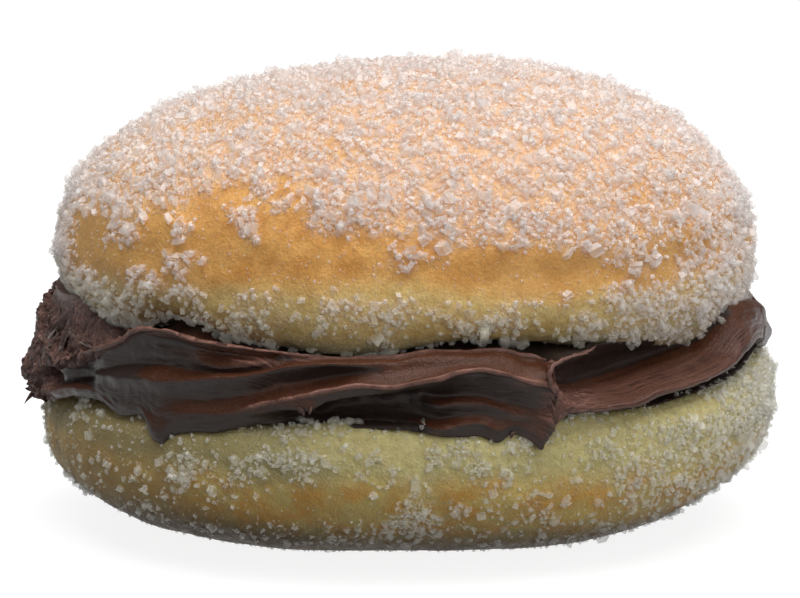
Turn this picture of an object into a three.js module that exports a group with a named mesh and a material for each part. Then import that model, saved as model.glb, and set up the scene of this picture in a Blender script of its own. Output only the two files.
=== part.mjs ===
// A sugared yeast doughnut of the unholed kind, cut through at its pale waist and put together again
// round a thick spread of chocolate cream. Three pieces lie on each other: the lower half, the cream
// that runs right through, and the upper half. Each piece is turned from a profile, and then pushed
// out of true by the unevenness that frying, cutting and spreading give it.
//
// Millimetres, +Z up, +X to the right of the front, the front towards -Y. The origin is on the
// surface that the doughnut stands on, under the middle of it.
import * as THREE from "three";

// ---- the whole ----
const AXIS_X = 0.7; // the halves' common axis, right of the middle, because the cream bulges out on the left
const DEPTH = 0.965; // the doughnut is a little shallower from front to back than it is wide
const GAP = 0.35; // air between two pieces that lie on each other

// ---- the lower half ----
const LOWER_RADIUS = 41.9;
const LOWER_FLAT = 13.6; // radius of the flat that it rests on
const LOWER_WIDEST_LEFT = 13.4; // height of the widest line, at the left and at the right
const LOWER_WIDEST_RIGHT = 15.9;
const LOWER_FULLNESS_LEFT = 2.5; // exponent of the belly's curve: 2 is an ellipse, more is boxier
const LOWER_FULLNESS_RIGHT = 2.36;
const LOWER_CUT = 18.2; // height of the cut face on the axis
const LOWER_CUT_SLOPE = 0.03; // rise of the cut face for each millimetre to the right
const LOWER_CUT_CROWN = 0.5; // how far the cut face swells in the middle
const LOWER_CORNER = 2.6; // rounding between the side and the cut face

// ---- the upper half ----
const UPPER_RADIUS = 39.6;
const UPPER_WIDEST = 31.4; // height of the widest line
const UPPER_TOP = 52.0;
const UPPER_FULLNESS = { left: 2.3, right: 2.45 }; // across the dome
const UPPER_STEEPNESS = { left: 2.33, right: 1.9 }; // up the dome
const UPPER_LEAN = 0.037; // rise of the dome for each millimetre to the right
const UPPER_EDGE = 26.2; // height of the lower edge
const UPPER_EDGE_INSET = 4.8; // how far the lower edge lies inside the widest line
const UPPER_EDGE_FULLNESS = 2.15;
const UPPER_SAG = 24.9; // height of the underside's middle
const CREASE_HEIGHT = 34.6; // the soft crease between browned dome and pale collar
const CREASE_WIDTH = 1.7;
const CREASE_DEPTH = 0.55;

// ---- the cream ----
const CREAM_RADIUS = 42.2;
const CREAM_HANG = 0.45; // how far its lower lip hangs below the cut face
const CREAM_LIP = 1.0; // thickness of that lip
const CREAM_TOP_INSET = 2.6; // how far its upper lip lies inside its widest line
const CREAM_TOP_DROP = 0.8; // how far its upper lip lies under the upper half's edge

// ---- fineness ----
const HALF_SEGMENTS = 64;
const CREAM_SEGMENTS = 120;

// Local unevenness: each entry is [angle in degrees, amount in mm, half-width in degrees], with
// angle 0 at the right, -90 at the front and 180 at the left.
const UPPER_EDGE_WAVES = [
  [-177, 0.5, 10], [-151, -1.3, 9], [-133, 1.8, 9], [-98, -0.4, 9], [-75, 1.1, 14],
  [-38, -1.8, 20], [-6, -1.0, 14], [32, 0.7, 16], [66, -1.0, 16], [101, 0.9, 14], [140, -0.9, 18],
];
const LOWER_FULLNESS_WAVES = [[-90, -0.33, 24], [-127, 0.1, 14], [-50, 0.28, 18], [90, -0.2, 26]];
const UPPER_BULGES = [[180, 0.6, 40], [-60, 0.25, 30], [70, 0.3, 40]];
const CREAM_BULGES = [
  [-179, 2.2, 13], [-152, -0.6, 9], [-129, 0.6, 7], [-95, 0.2, 16], [-67, 0.5, 7], [-20, -0.2, 12],
  [2, 0.1, 9], [30, -0.9, 12], [62, 0.6, 12], [97, 0.25, 10], [128, -0.7, 12], [150, 0.5, 8],
];
const CREAM_DRIPS = [
  [-173, 2.4, 8], [-129, 2.2, 3.4], [-80, 1.0, 4], [-69, 2.4, 3.2],
  [36, 1.0, 6], [63, 2.2, 4], [110, 1.6, 5], [153, 1.9, 5],
];
// how far the spread side leans in towards its top
const CREAM_LEANS = [[-178, 2.4, 16], [-2, 1.2, 18], [70, 1.0, 14]];
// where the cream doesn't lap over the lower half's shoulder but stays on the cut face
const CREAM_LIFTS = [[-6, 1.25, 24]];
const CREAM_RIDGES = [
  [-178, 1.6, 12], [-134, 0.9, 9], [-98, -0.3, 10], [-58, -0.8, 6], [-4, 0.1, 12], [75, 0.5, 14], [125, -0.5, 14],
];

const rad = THREE.MathUtils.degToRad;
const smooth = (t) => THREE.MathUtils.smoothstep(t, 0, 1);
// Blend of a left and a right value by the angle round the axis.
const across = (angle, left, right) => left + (right - left) * (0.5 + 0.5 * Math.cos(angle));
// A quarter of a superellipse: 0 at t = 0 and 1 at t = 1, steep at the far end.
const arcOut = (t, n) => Math.pow(Math.sin((t * Math.PI) / 2), 2 / n);
const arcIn = (t, n) => Math.pow(Math.max(Math.cos((t * Math.PI) / 2), 0), 2 / n);

function waves(table, angle) {
  let sum = 0;
  for (const [at, amount, width] of table) {
    const d = Math.atan2(Math.sin(angle - rad(at)), Math.cos(angle - rad(at))) / rad(width);
    sum += amount * Math.exp(-d * d);
  }
  return sum;
}

// ---- the lower half ----
const lowerRadius = (a) =>
  LOWER_RADIUS + 0.3 * Math.sin(2 * a + 0.6) + 0.2 * Math.sin(3 * a + 2.1) + 0.12 * Math.sin(5 * a - 0.7);
const lowerWidest = (a) => across(a, LOWER_WIDEST_LEFT, LOWER_WIDEST_RIGHT);
const cutFace = (a, r) =>
  LOWER_CUT + LOWER_CUT_SLOPE * r * Math.cos(a) + LOWER_CUT_CROWN * (1 - Math.pow(r / LOWER_RADIUS, 2));
const lowerRimRadius = (a) => lowerRadius(a) - LOWER_CORNER;
const LOWER_STEPS = { flat: 1, belly: 9, corner: 4, face: 4 };

function lowerProfile(a) {
  const { flat, belly, corner, face } = LOWER_STEPS;
  const R = lowerRadius(a), zw = lowerWidest(a), rim = lowerRimRadius(a);
  const n = across(a, LOWER_FULLNESS_LEFT, LOWER_FULLNESS_RIGHT) + waves(LOWER_FULLNESS_WAVES, a);
  const p = [[0, 0]];
  for (let i = 0; i < flat; i++) p.push([LOWER_FLAT, 0]);
  for (let i = 1; i <= belly; i++) {
    const t = i / belly;
    p.push([LOWER_FLAT + (R - LOWER_FLAT) * arcOut(t, n), zw * (1 - arcIn(t, n))]);
  }
  for (let i = 1; i <= corner; i++) {
    const t = i / corner;
    p.push([rim + LOWER_CORNER * arcIn(t, 2.3), zw + (cutFace(a, rim) - zw) * arcOut(t, 2.3)]);
  }
  for (let i = 1; i <= face; i++) {
    const r = rim * (1 - i / face);
    p.push([r, cutFace(a, r)]);
  }
  return p;
}

// ---- the upper half ----
const upperRadius = (a) =>
  UPPER_RADIUS + waves(UPPER_BULGES, a) + 0.2 * Math.sin(3 * a + 0.4) + 0.12 * Math.sin(5 * a + 1.9);
const upperEdge = (a) => UPPER_EDGE + waves(UPPER_EDGE_WAVES, a);
const upperEdgeRadius = (a) => upperRadius(a) - UPPER_EDGE_INSET;
const underside = (a, r) => UPPER_SAG + (upperEdge(a) - UPPER_SAG) * smooth(r / upperEdgeRadius(a));
const crease = (a, z) =>
  CREASE_DEPTH * (0.65 + 0.35 * Math.sin(a - 2.2)) * Math.exp(-Math.pow((z - CREASE_HEIGHT - 0.6 * Math.sin(2 * a)) / CREASE_WIDTH, 2));
const UPPER_STEPS = { under: 4, corner: 5, dome: 14 };

function upperProfile(a) {
  const { under, corner, dome } = UPPER_STEPS;
  const R = upperRadius(a), re = upperEdgeRadius(a), ze = upperEdge(a);
  const n = across(a, UPPER_FULLNESS.left, UPPER_FULLNESS.right);
  const m = across(a, UPPER_STEEPNESS.left, UPPER_STEEPNESS.right);
  const p = [];
  for (let i = 0; i <= under; i++) {
    const r = (re * i) / under;
    p.push([r, underside(a, r)]);
  }
  for (let i = 1; i <= corner; i++) {
    const t = i / corner;
    p.push([re + (R - re) * arcOut(t, UPPER_EDGE_FULLNESS), UPPER_WIDEST - (UPPER_WIDEST - ze) * arcIn(t, UPPER_EDGE_FULLNESS)]);
  }
  for (let i = 1; i <= dome; i++) {
    const t = i / dome, h = arcOut(t, m), r = i === dome ? 0 : R * arcIn(t, n);
    const z = UPPER_WIDEST + (UPPER_TOP - UPPER_WIDEST) * h + UPPER_LEAN * r * Math.cos(a) * h;
    p.push([r === 0 ? 0 : r - crease(a, z), z]);
  }
  return p;
}

// ---- the cream ----
const creamRadius = (a) => CREAM_RADIUS + waves(CREAM_BULGES, a) + 0.15 * Math.sin(9 * a + 1) + 0.1 * Math.sin(14 * a);
const creamLap = (a) => 1 - smooth(waves(CREAM_LIFTS, a));
const creamFoot = (a) => {
  const lap = creamLap(a);
  return cutFace(a, lowerRimRadius(a)) - lap * (CREAM_HANG + waves(CREAM_DRIPS, a)) + (1 - lap) * 1.2;
};
const creamLipTop = (a) => upperEdge(a) - CREAM_TOP_DROP - 0.5 * (waves(UPPER_EDGE_WAVES, a)) + waves(CREAM_RIDGES, a);
const CREAM_STEPS = { floor: 3, roof: 4 };

function creamProfile(a) {
  const { floor, roof } = CREAM_STEPS;
  const rim = lowerRimRadius(a), lap = creamLap(a), foot = creamFoot(a), cut = cutFace(a, rim);
  const wall = rim + 0.5 + lap * (lowerRadius(a) + GAP - rim - 0.5);
  const R = Math.max(creamRadius(a), wall + CREAM_LIP), top = creamLipTop(a), lean = waves(CREAM_LEANS, a);
  const inner = upperEdgeRadius(a) - 0.6; // where the roof meets the upper half's underside
  const p = [];
  for (let i = 0; i <= floor; i++) {
    const r = (rim * i) / floor;
    p.push([r, cutFace(a, r) + GAP]);
  }
  // down over the lower half's shoulder, round the lip, and up the spread side
  p.push([wall, cut + GAP - 0.1 * lap]);
  p.push([wall, foot]);
  p.push([(wall + R) / 2, foot - 0.15]);
  const rise = top - foot;
  const groove = 0.8 + 0.35 * Math.sin(3 * a + 0.5); // the hollow that the knife leaves between two ridges
  p.push([R - 0.15, foot + 0.14 * rise]);
  p.push([R, foot + 0.3 * rise]);
  p.push([R - groove - 0.25 * lean, foot + 0.52 * rise]);
  p.push([R - 0.55 - 0.55 * lean, foot + 0.72 * rise]);
  p.push([R - 0.9 - 0.8 * lean, foot + 0.9 * rise]);
  p.push([R - CREAM_TOP_INSET - lean, top]);
  for (let i = roof; i >= 0; i--) {
    const r = (inner * i) / roof;
    const z = underside(a, r) - GAP;
    p.push([r, i === roof ? Math.min(z, top + 0.2) : z]);
  }
  return p;
}

// Turns a profile that changes with the angle. The lathe gives the topology, and each of its
// vertices then goes to where the profile of its own angle has it.
function turned(name, profile, segments, colour, roughness) {
  const count = profile(0).length;
  const stand = profile(0).map(([r, z]) => new THREE.Vector2(r, z));
  const geometry = new THREE.LatheGeometry(stand, segments);
  const position = geometry.getAttribute("position");
  for (let i = 0; i <= segments; i++) {
    const angle = ((i % segments) / segments) * 2 * Math.PI;
    const points = profile(angle);
    for (let j = 0; j < count; j++) {
      const [r, z] = points[j];
      position.setXYZ(i * count + j, AXIS_X + r * Math.cos(angle), DEPTH * r * Math.sin(angle), z);
    }
  }
  geometry.computeVertexNormals();
  const mesh = new THREE.Mesh(geometry, new THREE.MeshStandardMaterial({ color: colour, roughness, metalness: 0 }));
  mesh.name = name;
  return mesh;
}

const doughnut = new THREE.Group();
doughnut.add(turned("lower_half", lowerProfile, HALF_SEGMENTS, 0xcfa15c, 0.75));
doughnut.add(turned("cream", creamProfile, CREAM_SEGMENTS, 0x4a2a22, 0.35));
doughnut.add(turned("upper_half", upperProfile, HALF_SEGMENTS, 0xd99a55, 0.75));

export default doughnut;
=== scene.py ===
import math

import bmesh
import bpy
import numpy as np
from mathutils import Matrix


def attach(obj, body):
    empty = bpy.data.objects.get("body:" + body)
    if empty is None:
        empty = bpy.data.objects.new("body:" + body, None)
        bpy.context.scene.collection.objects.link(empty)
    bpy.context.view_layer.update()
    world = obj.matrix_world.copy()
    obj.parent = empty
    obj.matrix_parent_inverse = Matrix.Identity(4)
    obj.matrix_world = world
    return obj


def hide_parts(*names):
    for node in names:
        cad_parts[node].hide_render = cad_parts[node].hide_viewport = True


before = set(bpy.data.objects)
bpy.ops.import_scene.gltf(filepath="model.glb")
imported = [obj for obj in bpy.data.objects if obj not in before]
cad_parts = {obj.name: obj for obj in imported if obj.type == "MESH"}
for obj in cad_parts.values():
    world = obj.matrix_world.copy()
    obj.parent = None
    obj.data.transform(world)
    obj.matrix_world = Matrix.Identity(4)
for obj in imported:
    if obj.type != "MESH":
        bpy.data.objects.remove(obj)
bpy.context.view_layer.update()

MM = 0.001
RNG = np.random.default_rng(5247)

# ---------------------------------------------------------------- noise
_perm = RNG.permutation(256)
_perm = np.concatenate([_perm, _perm])
_g = RNG.normal(size=(256, 3))
_g /= np.linalg.norm(_g, axis=1)[:, None]


def perlin(p):
    p = np.asarray(p, float)
    i = np.floor(p).astype(np.int64)
    f = p - i
    u = f * f * f * (f * (f * 6 - 15) + 10)
    i &= 255
    out = 0.0
    for dx in (0, 1):
        wx = u[:, 0] if dx else 1 - u[:, 0]
        ax = _perm[(i[:, 0] + dx) & 255]
        for dy in (0, 1):
            wy = u[:, 1] if dy else 1 - u[:, 1]
            ay = _perm[(ax + i[:, 1] + dy) & 255]
            for dz in (0, 1):
                wz = u[:, 2] if dz else 1 - u[:, 2]
                g = _g[_perm[(ay + i[:, 2] + dz) & 255]]
                d = g[:, 0] * (f[:, 0] - dx) + g[:, 1] * (f[:, 1] - dy) + g[:, 2] * (f[:, 2] - dz)
                out = out + wx * wy * wz * d
    return out * 1.6


def fbm(p, octaves=4, gain=0.5, shift=0.0):
    p = np.asarray(p, float) + shift
    s, a = 0.0, 1.0
    for k in range(octaves):
        s = s + a * perlin(p * 2.0**k + 17.3 * k)
        a *= gain
    return s


def ridged(p, octaves=4, gain=0.55, shift=0.0):
    p = np.asarray(p, float) + shift
    s, a, t = 0.0, 1.0, 0.0
    for k in range(octaves):
        s = s + a * (1 - 2 * np.abs(perlin(p * 2.0**k + 31.7 * k)))
        t += a
        a *= gain
    return s / t


def smooth(t):
    t = np.clip(t, 0, 1)
    return t * t * (3 - 2 * t)


def step(x, a, b):
    return smooth((x - a) / (b - a))


def wrap(a):
    return np.arctan2(np.sin(a), np.cos(a))


# ---------------------------------------------------------------- the doughnut's outline, in mm, as the CAD has it
AXIS_X, DEPTH, GAP = 0.7, 0.965, 0.35
LOWER_RADIUS, LOWER_FLAT, LOWER_CORNER = 41.9, 13.6, 2.6
UPPER_RADIUS, UPPER_WIDEST, UPPER_TOP, UPPER_INSET, UPPER_SAG = 39.6, 31.4, 52.0, 4.8, 24.9

UPPER_EDGE_WAVES = [
    (-177, 0.5, 10), (-151, -1.3, 9), (-133, 1.8, 9), (-100, -1.0, 12), (-77, 0.95, 13),
    (-38, -2.4, 20), (-20, -2.0, 12), (-5, -2.0, 14), (32, 0.7, 16), (66, -1.0, 16), (101, 0.9, 14), (140, -0.9, 18),
]
LOWER_FULLNESS_WAVES = [(-90, -0.33, 24), (-127, 0.1, 14), (-50, 0.28, 18), (90, -0.2, 26)]
UPPER_BULGES = [(180, 0.6, 40), (-60, 0.25, 30), (70, 0.3, 40)]


def across(a, left, right):
    return left + (right - left) * (0.5 + 0.5 * np.cos(a))


def arc_out(t, n):
    return np.sin(t * np.pi / 2) ** (2 / n)


def arc_in(t, n):
    return np.maximum(np.cos(t * np.pi / 2), 0) ** (2 / n)


def waves(table, a):
    s = 0 * a
    for at, amount, width in table:
        d = wrap(a - math.radians(at)) / math.radians(width)
        s = s + amount * np.exp(-d * d)
    return s


def lower_radius(a):
    return LOWER_RADIUS + 0.3 * np.sin(2 * a + 0.6) + 0.2 * np.sin(3 * a + 2.1) + 0.12 * np.sin(5 * a - 0.7)


def lower_widest(a):
    return across(a, 13.4, 15.9)


def cut_face(a, r):
    dip = 0.9 * np.exp(-((wrap(a + 0.80) / 0.24) ** 2)) + 0.5 * np.exp(-((wrap(a + 0.42) / 0.16) ** 2)) + 0.5 * np.exp(-((wrap(a - 1.5) / 0.3) ** 2))
    return 18.2 + 0.03 * r * np.cos(a) + 0.5 * (1 - (r / LOWER_RADIUS) ** 2) - dip * smooth((r - 33.0) / 5.5)


def lower_rim(a):
    return lower_radius(a) - LOWER_CORNER


def upper_radius(a):
    return UPPER_RADIUS + waves(UPPER_BULGES, a) + 0.2 * np.sin(3 * a + 0.4) + 0.12 * np.sin(5 * a + 1.9)


def upper_edge(a):
    return 26.2 + waves(UPPER_EDGE_WAVES, a)


def upper_edge_radius(a):
    return upper_radius(a) - UPPER_INSET


def underside(a, r):
    return UPPER_SAG + (upper_edge(a) - UPPER_SAG) * smooth(r / upper_edge_radius(a))


def crease(a, z):
    return 0.5 * (0.3 + 0.6 * np.exp(-(((a + 1.15) / 0.7) ** 2)) + 0.4 * np.exp(-(((a - 1.6) / 0.8) ** 2))) * np.exp(-(((z - 34.6 - 0.6 * np.sin(2 * a)) / 1.7) ** 2))


def lower_profile(a, s):
    """a (columns), s (rows) in 0..4: flat, belly, corner, cut face. Gives r and z as rows by columns."""
    a, s = a[None, :], s[:, None]
    R, zw, rim = lower_radius(a), lower_widest(a), lower_rim(a)
    n = across(a, 2.5, 2.36) + waves(LOWER_FULLNESS_WAVES, a)
    t = np.clip(s, 0, 1)
    r, z = LOWER_FLAT * t + 0 * a, 0 * a + 0 * t
    t = np.clip(s - 1, 0, 1)
    r1, z1 = LOWER_FLAT + (R - LOWER_FLAT) * arc_out(t, n), zw * (1 - arc_in(t, n))
    t = np.clip(s - 2, 0, 1)
    zr = cut_face(a, rim)
    r2, z2 = rim + LOWER_CORNER * arc_in(t, 2.3), zw + (zr - zw) * arc_out(t, 2.3)
    t = np.clip(s - 3, 0, 1)
    r3 = rim * (1 - t)
    z3 = cut_face(a, r3)
    r = np.where(s <= 1, r, np.where(s <= 2, r1, np.where(s <= 3, r2, r3)))
    z = np.where(s <= 1, z, np.where(s <= 2, z1, np.where(s <= 3, z2, z3)))
    return r, z


def upper_profile(a, s):
    """s in 0..3: underside, corner, dome."""
    a, s = a[None, :], s[:, None]
    R, re, ze = upper_radius(a), upper_edge_radius(a), upper_edge(a)
    n, m = across(a, 2.3, 2.45), across(a, 2.33, 1.9)
    t = np.clip(s, 0, 1)
    r, z = re * t, underside(a, re * t)
    t = np.clip(s - 1, 0, 1)
    r1, z1 = re + (R - re) * arc_out(t, 2.15), UPPER_WIDEST - (UPPER_WIDEST - ze) * arc_in(t, 2.15)
    t = np.clip(s - 2, 0, 1)
    h = arc_out(t, m)
    r2 = R * arc_in(t, n)
    z2 = UPPER_WIDEST + (UPPER_TOP - UPPER_WIDEST) * h + 0.037 * r2 * np.cos(a) * h
    r2 = np.where(r2 > 1e-6, r2 - crease(a, z2) * step(r2, 0, 5), 0)
    r = np.where(s <= 1, r, np.where(s <= 2, r1, r2))
    z = np.where(s <= 1, z, np.where(s <= 2, z1, z2))
    return r, z


# ---------------------------------------------------------------- meshes
def mesh_object(name, verts, faces, flat=False):
    """faces: list of arrays, each (n, 3) or (n, 4). verts in metres."""
    me = bpy.data.meshes.new(name)
    me.vertices.add(len(verts))
    me.vertices.foreach_set("co", np.ascontiguousarray(verts, np.float32).ravel())
    loops = np.concatenate([f.ravel() for f in faces]).astype(np.int32)
    sizes = np.concatenate([np.full(len(f), f.shape[1]) for f in faces])
    starts = np.concatenate([[0], np.cumsum(sizes)[:-1]]).astype(np.int32)
    me.loops.add(len(loops))
    me.loops.foreach_set("vertex_index", loops)
    me.polygons.add(len(sizes))
    me.polygons.foreach_set("loop_start", starts)
    me.update(calc_edges=True)
    if flat:
        me.shade_flat()
    else:
        me.shade_smooth()
    ob = bpy.data.objects.new(name, me)
    bpy.context.scene.collection.objects.link(ob)
    return ob


def attribute(ob, name, values):
    at = ob.data.attributes.new(name, "FLOAT", "POINT")
    at.data.foreach_set("value", np.ascontiguousarray(values, np.float32))


def grid_faces(rows, cols, ring=0):
    """Quads of a grid of rows that closes on itself round the axis."""
    i = np.arange(rows - 1)[:, None] * cols
    j = np.arange(cols)[None, :]
    k = (j + 1) % cols
    return (np.stack([i + j, i + k, i + cols + k, i + cols + j], -1) + ring).reshape(-1, 4)


def fan(centre, ring, cols, up):
    j = np.arange(cols)
    k = (j + 1) % cols
    c = np.full(cols, centre)
    return np.stack([c, ring + j, ring + k], -1) if up else np.stack([c, ring + k, ring + j], -1)


def vertex_normals(P, closed=True):
    """P: rows x cols x 3 on a grid that is closed along the columns."""
    du = np.roll(P, -1, 1) - np.roll(P, 1, 1)
    dv = np.gradient(P, axis=0)
    n = np.cross(du, dv)
    n /= np.maximum(np.linalg.norm(n, axis=-1, keepdims=True), 1e-12)
    return n


def place(r, a, z):
    return np.stack([AXIS_X + r * np.cos(a), DEPTH * r * np.sin(a), z + 0 * r], -1)


def even_rows(profile, lo, hi, spacing, weight=None):
    """Parameter values between lo and hi that are evenly spaced along the mean profile."""
    s = np.linspace(lo, hi, 4000)
    a = np.radians([-90.0, -150.0, -30.0])
    r, z = profile(a, s)
    d = np.hypot(np.diff(r, axis=0), np.diff(z, axis=0)).mean(1)
    if weight is not None:
        d = d / weight(0.5 * (s[1:] + s[:-1]))
    c = np.concatenate([[0], np.cumsum(d)])
    n = max(2, int(round(c[-1] / spacing)))
    return np.interp(np.linspace(0, c[-1], n + 1), c, s)


def turned(name, profile, s_end, cols, spacing, weight, relief):
    s = even_rows(profile, 0.0, s_end, spacing, weight)[1:-1]
    a = -np.pi + 2 * np.pi * np.arange(cols) / cols
    r, z = profile(a, s)
    P = place(r, np.broadcast_to(a, r.shape), z)
    N = vertex_normals(P)
    flat = P.reshape(-1, 3)
    P = P + N * relief(flat, N.reshape(-1, 3), np.broadcast_to(a, r.shape).ravel(), r.ravel(), z.ravel()).reshape(r.shape)[..., None]
    r0, z0 = profile(a, np.array([0.0, s_end]))
    first = np.array([AXIS_X, 0, z0[0].mean()])
    last = np.array([AXIS_X, 0, z0[1].mean()])
    V = np.concatenate([P.reshape(-1, 3), [first, last]])
    rows = len(s)
    quads = grid_faces(rows, cols)
    f0 = fan(rows * cols, 0, cols, up=False)
    f1 = fan(rows * cols + 1, (rows - 1) * cols, cols, up=True)
    ob = mesh_object(name, V * MM, [quads, f0, f1])
    return ob, V


# ---------------------------------------------------------------- where the sugar lies
def screen(P):
    """Millimetres in the frame to the place in the photograph's frame of 800 by 598."""
    e = math.radians(10.4)
    ce, se = math.cos(e), math.sin(e)
    z = P[:, 2] - 26.0
    depth = 600 + P[:, 1] * ce - z * se
    u = P[:, 0] * 600 / depth
    w = (z * ce + P[:, 1] * se) * 600 / depth
    return u / 0.11549 + 400, 550 - (w + 29.79) / 0.11549


# Patches of the front: (x, y, half-width, half-height, amount). More sugar where the amount is above 0.
UPPER_PATCHES = [
    (262, 215, 56, 34, -1.1), (215, 205, 26, 14, -0.5), (330, 150, 26, 10, -0.35), (352, 88, 30, 8, -0.4), (205, 128, 34, 8, -0.3),
    (250, 108, 40, 7, -0.3), (190, 250, 70, 22, -0.6), (330, 262, 90, 18, -0.8), (110, 250, 22, 26, -0.5), (520, 272, 90, 14, -0.7),
    (410, 228, 20, 10, -0.3), (640, 196, 26, 14, -0.25), (690, 240, 16, 14, -0.3), (560, 200, 20, 12, -0.25),
    (122, 232, 20, 26, 1.3), (240, 215, 18, 11, 1.9), (252, 235, 15, 13, 1.9), (262, 190, 8, 14, 1.8), (282, 206, 14, 5, 1.7),
    (182, 232, 15, 9, 1.7), (178, 262, 14, 11, 1.8), (200, 258, 8, 7, 1.4), (140, 272, 10, 8, 1.1), (72, 185, 16, 30, 0.9), (66, 235, 10, 34, 0.9),
    (400, 262, 24, 14, 1.0), (372, 270, 10, 8, 0.9), (440, 258, 26, 8, 0.6), (330, 225, 22, 14, 0.7), (350, 205, 36, 20, 0.7),
    (470, 225, 60, 22, 0.7), (540, 220, 40, 24, 0.6), (600, 240, 34, 20, 0.7), (640, 262, 22, 16, 0.8), (700, 262, 30, 22, 0.7), (735, 235, 14, 50, 0.9),
    (110, 302, 26, 15, 0.9), (90, 285, 16, 14, 0.6), (180, 292, 16, 8, 0.9), (160, 283, 10, 10, 0.7), (255, 322, 34, 10, 0.9), (210, 318, 16, 8, 0.6),
    (385, 312, 13, 10, 0.9), (432, 316, 9, 12, 0.9), (492, 322, 16, 10, 0.8), (475, 330, 20, 8, 0.5), (660, 305, 34, 16, 1.1), (715, 300, 24, 20, 1.2),
    (620, 300, 14, 10, 0.6), (588, 322, 14, 10, 0.4), (640, 335, 60, 7, 0.5), (400, 352, 60, 5, 0.1), (300, 338, 60, 7, 0.1), (340, 345, 120, 7, -0.35), (505, 341, 75, 9, -0.6), (474, 338, 9, 5, 0.7),
]
LOWER_PATCHES = [
    (187, 458, 11, 16, 1.2), (176, 478, 10, 14, 0.8), (205, 470, 10, 8, 0.6), (262, 459, 18, 8, 1.1), (242, 472, 14, 10, 0.9), (262, 482, 10, 6, 0.6),
    (300, 458, 16, 12, 1.0), (320, 462, 16, 9, 0.9), (305, 478, 14, 8, 0.7), (376, 458, 11, 6, 0.9), (356, 449, 8, 6, 0.5), (386, 488, 7, 7, 0.6),
    (437, 459, 13, 9, 1.3), (456, 455, 10, 7, 0.9), (482, 470, 11, 9, 1.0), (508, 476, 9, 11, 0.9), (460, 510, 10, 8, 1.0), (424, 512, 17, 15, 1.4),
    (400, 524, 18, 10, 0.7), (430, 532, 30, 8, 0.8), (340, 536, 26, 8, 0.7), (300, 530, 16, 6, 0.4), (486, 540, 24, 7, 0.6), (540, 512, 22, 12, 0.7),
    (560, 535, 40, 8, 0.6), (520, 440, 14, 8, 0.5), (600, 450, 30, 12, 0.4), (640, 480, 40, 26, 0.6), (700, 440, 40, 44, 0.4), (745, 415, 24, 40, 0.7),
    (690, 402, 30, 10, 0.8), (730, 385, 24, 12, 0.9), (765, 400, 10, 36, 1.0), (660, 425, 30, 8, 0.6), (120, 440, 26, 20, 0.10), (95, 470, 24, 22, 0.12), (62, 440, 22, 44, -0.35), (95, 505, 34, 22, -0.25), (150, 520, 60, 10, -0.3),
    (150, 505, 26, 12, 0.25), (220, 500, 24, 12, 0.25), (330, 500, 60, 14, -0.6), (250, 515, 50, 8, -0.4), (560, 470, 30, 14, -0.3), (400, 440, 30, 10, -0.2),
]


def patches(table, P, front, ragged=9.0):
    x, y = screen(P)
    x = x + ragged * fbm(P / 1.7, 2, 0.6, 43.0)
    y = y + ragged * fbm(P / 1.7, 2, 0.6, 47.0)
    s = 0 * x
    for px, py, wx, wy, amount in table:
        q = ((x - px) / wx) ** 2 + ((y - py) / wy) ** 2
        s = s + amount * np.exp(-(q**1.5))
    return s * front


def facing(P):
    """1 on what the photograph shows, 0 at the back."""
    a = np.arctan2(P[:, 1] / DEPTH, P[:, 0] - AXIS_X)
    return step(-np.sin(a) * np.hypot(P[:, 0] - AXIS_X, P[:, 1]) / 40, -0.75, -0.25) * step(-np.sin(a), -1.2, 0.05)


def upper_sugar(P):
    """How thick the sugar lies, from 0 to about 1.5."""
    z = P[:, 2]
    a = np.arctan2(P[:, 1] / DEPTH, P[:, 0] - AXIS_X)
    coarse = fbm(P / 7.0, 3, 0.6, 4.0)
    mid = fbm(P / 2.6, 2, 0.6, 9.0)
    limit = 37.3 + 1.6 * coarse + 1.2 * mid - 3.2 * np.exp(-((wrap(a + 0.25) / 0.55) ** 2)) + 1.5 * np.exp(-((wrap(a + 2.2) / 0.5) ** 2))
    d = 0.92 * step(z, limit - 1.2, limit + 3.0) + 0.16 * coarse + 0.22 * mid
    collar = step(z, 24.5, 26.2) * step(-z, -33.5, -31.0)
    d = d + collar * (0.42 + 0.35 * mid + 0.3 * coarse)
    d = d + 0.10 * step(-z, -27.6, -26.4)
    front = facing(P)
    back = 1 - front
    d = d + back * 0.9 * np.maximum(fbm(P / 4.2, 2, 0.5, 21.0) - 0.12, 0)
    d = d + patches(UPPER_PATCHES, P, front)
    inside = step(np.hypot(P[:, 0] - AXIS_X, P[:, 1] / DEPTH), 33.5, 35.5)
    return np.clip(d, 0, 1.6) * np.where(z < 30, inside, 1)


def lower_sugar(P):
    z = P[:, 2]
    a = np.arctan2(P[:, 1] / DEPTH, P[:, 0] - AXIS_X)
    coarse = fbm(P / 6.0, 3, 0.6, 14.0)
    mid = fbm(P / 2.4, 2, 0.6, 19.0)
    d = 0.17 + 0.2 * coarse + 0.3 * mid
    d = d + 0.30 * np.exp(-((wrap(a + 0.1) / 0.75) ** 2))  # thicker at the right
    d = d + 0.2 * np.exp(-((wrap(a - 3.0) / 0.4) ** 2)) + 0.3 * np.exp(-((wrap(a - 1.2) / 0.6) ** 2))
    d = d + 0.3 * step(z, 16.0, 17.8)
    front = facing(P)
    d = d + (1 - front) * 1.1 * np.maximum(fbm(P / 4.0, 2, 0.5, 27.0) - 0.15, 0)
    d = d + patches(LOWER_PATCHES, P, front)
    d = d * (0.06 + 0.94 * step(z, 2.8, 8.5)) * step(z, 0.8, 2.6)
    d = d * (1 - np.exp(-((wrap(a + 0.74) / 0.30) ** 2)) * step(z, 16.2, 17.4))
    inside = step(np.hypot(P[:, 0] - AXIS_X, P[:, 1] / DEPTH), 36.5, 38.5)
    return np.clip(d, 0, 1.6) * np.where(z > 17, inside, 1)


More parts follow.
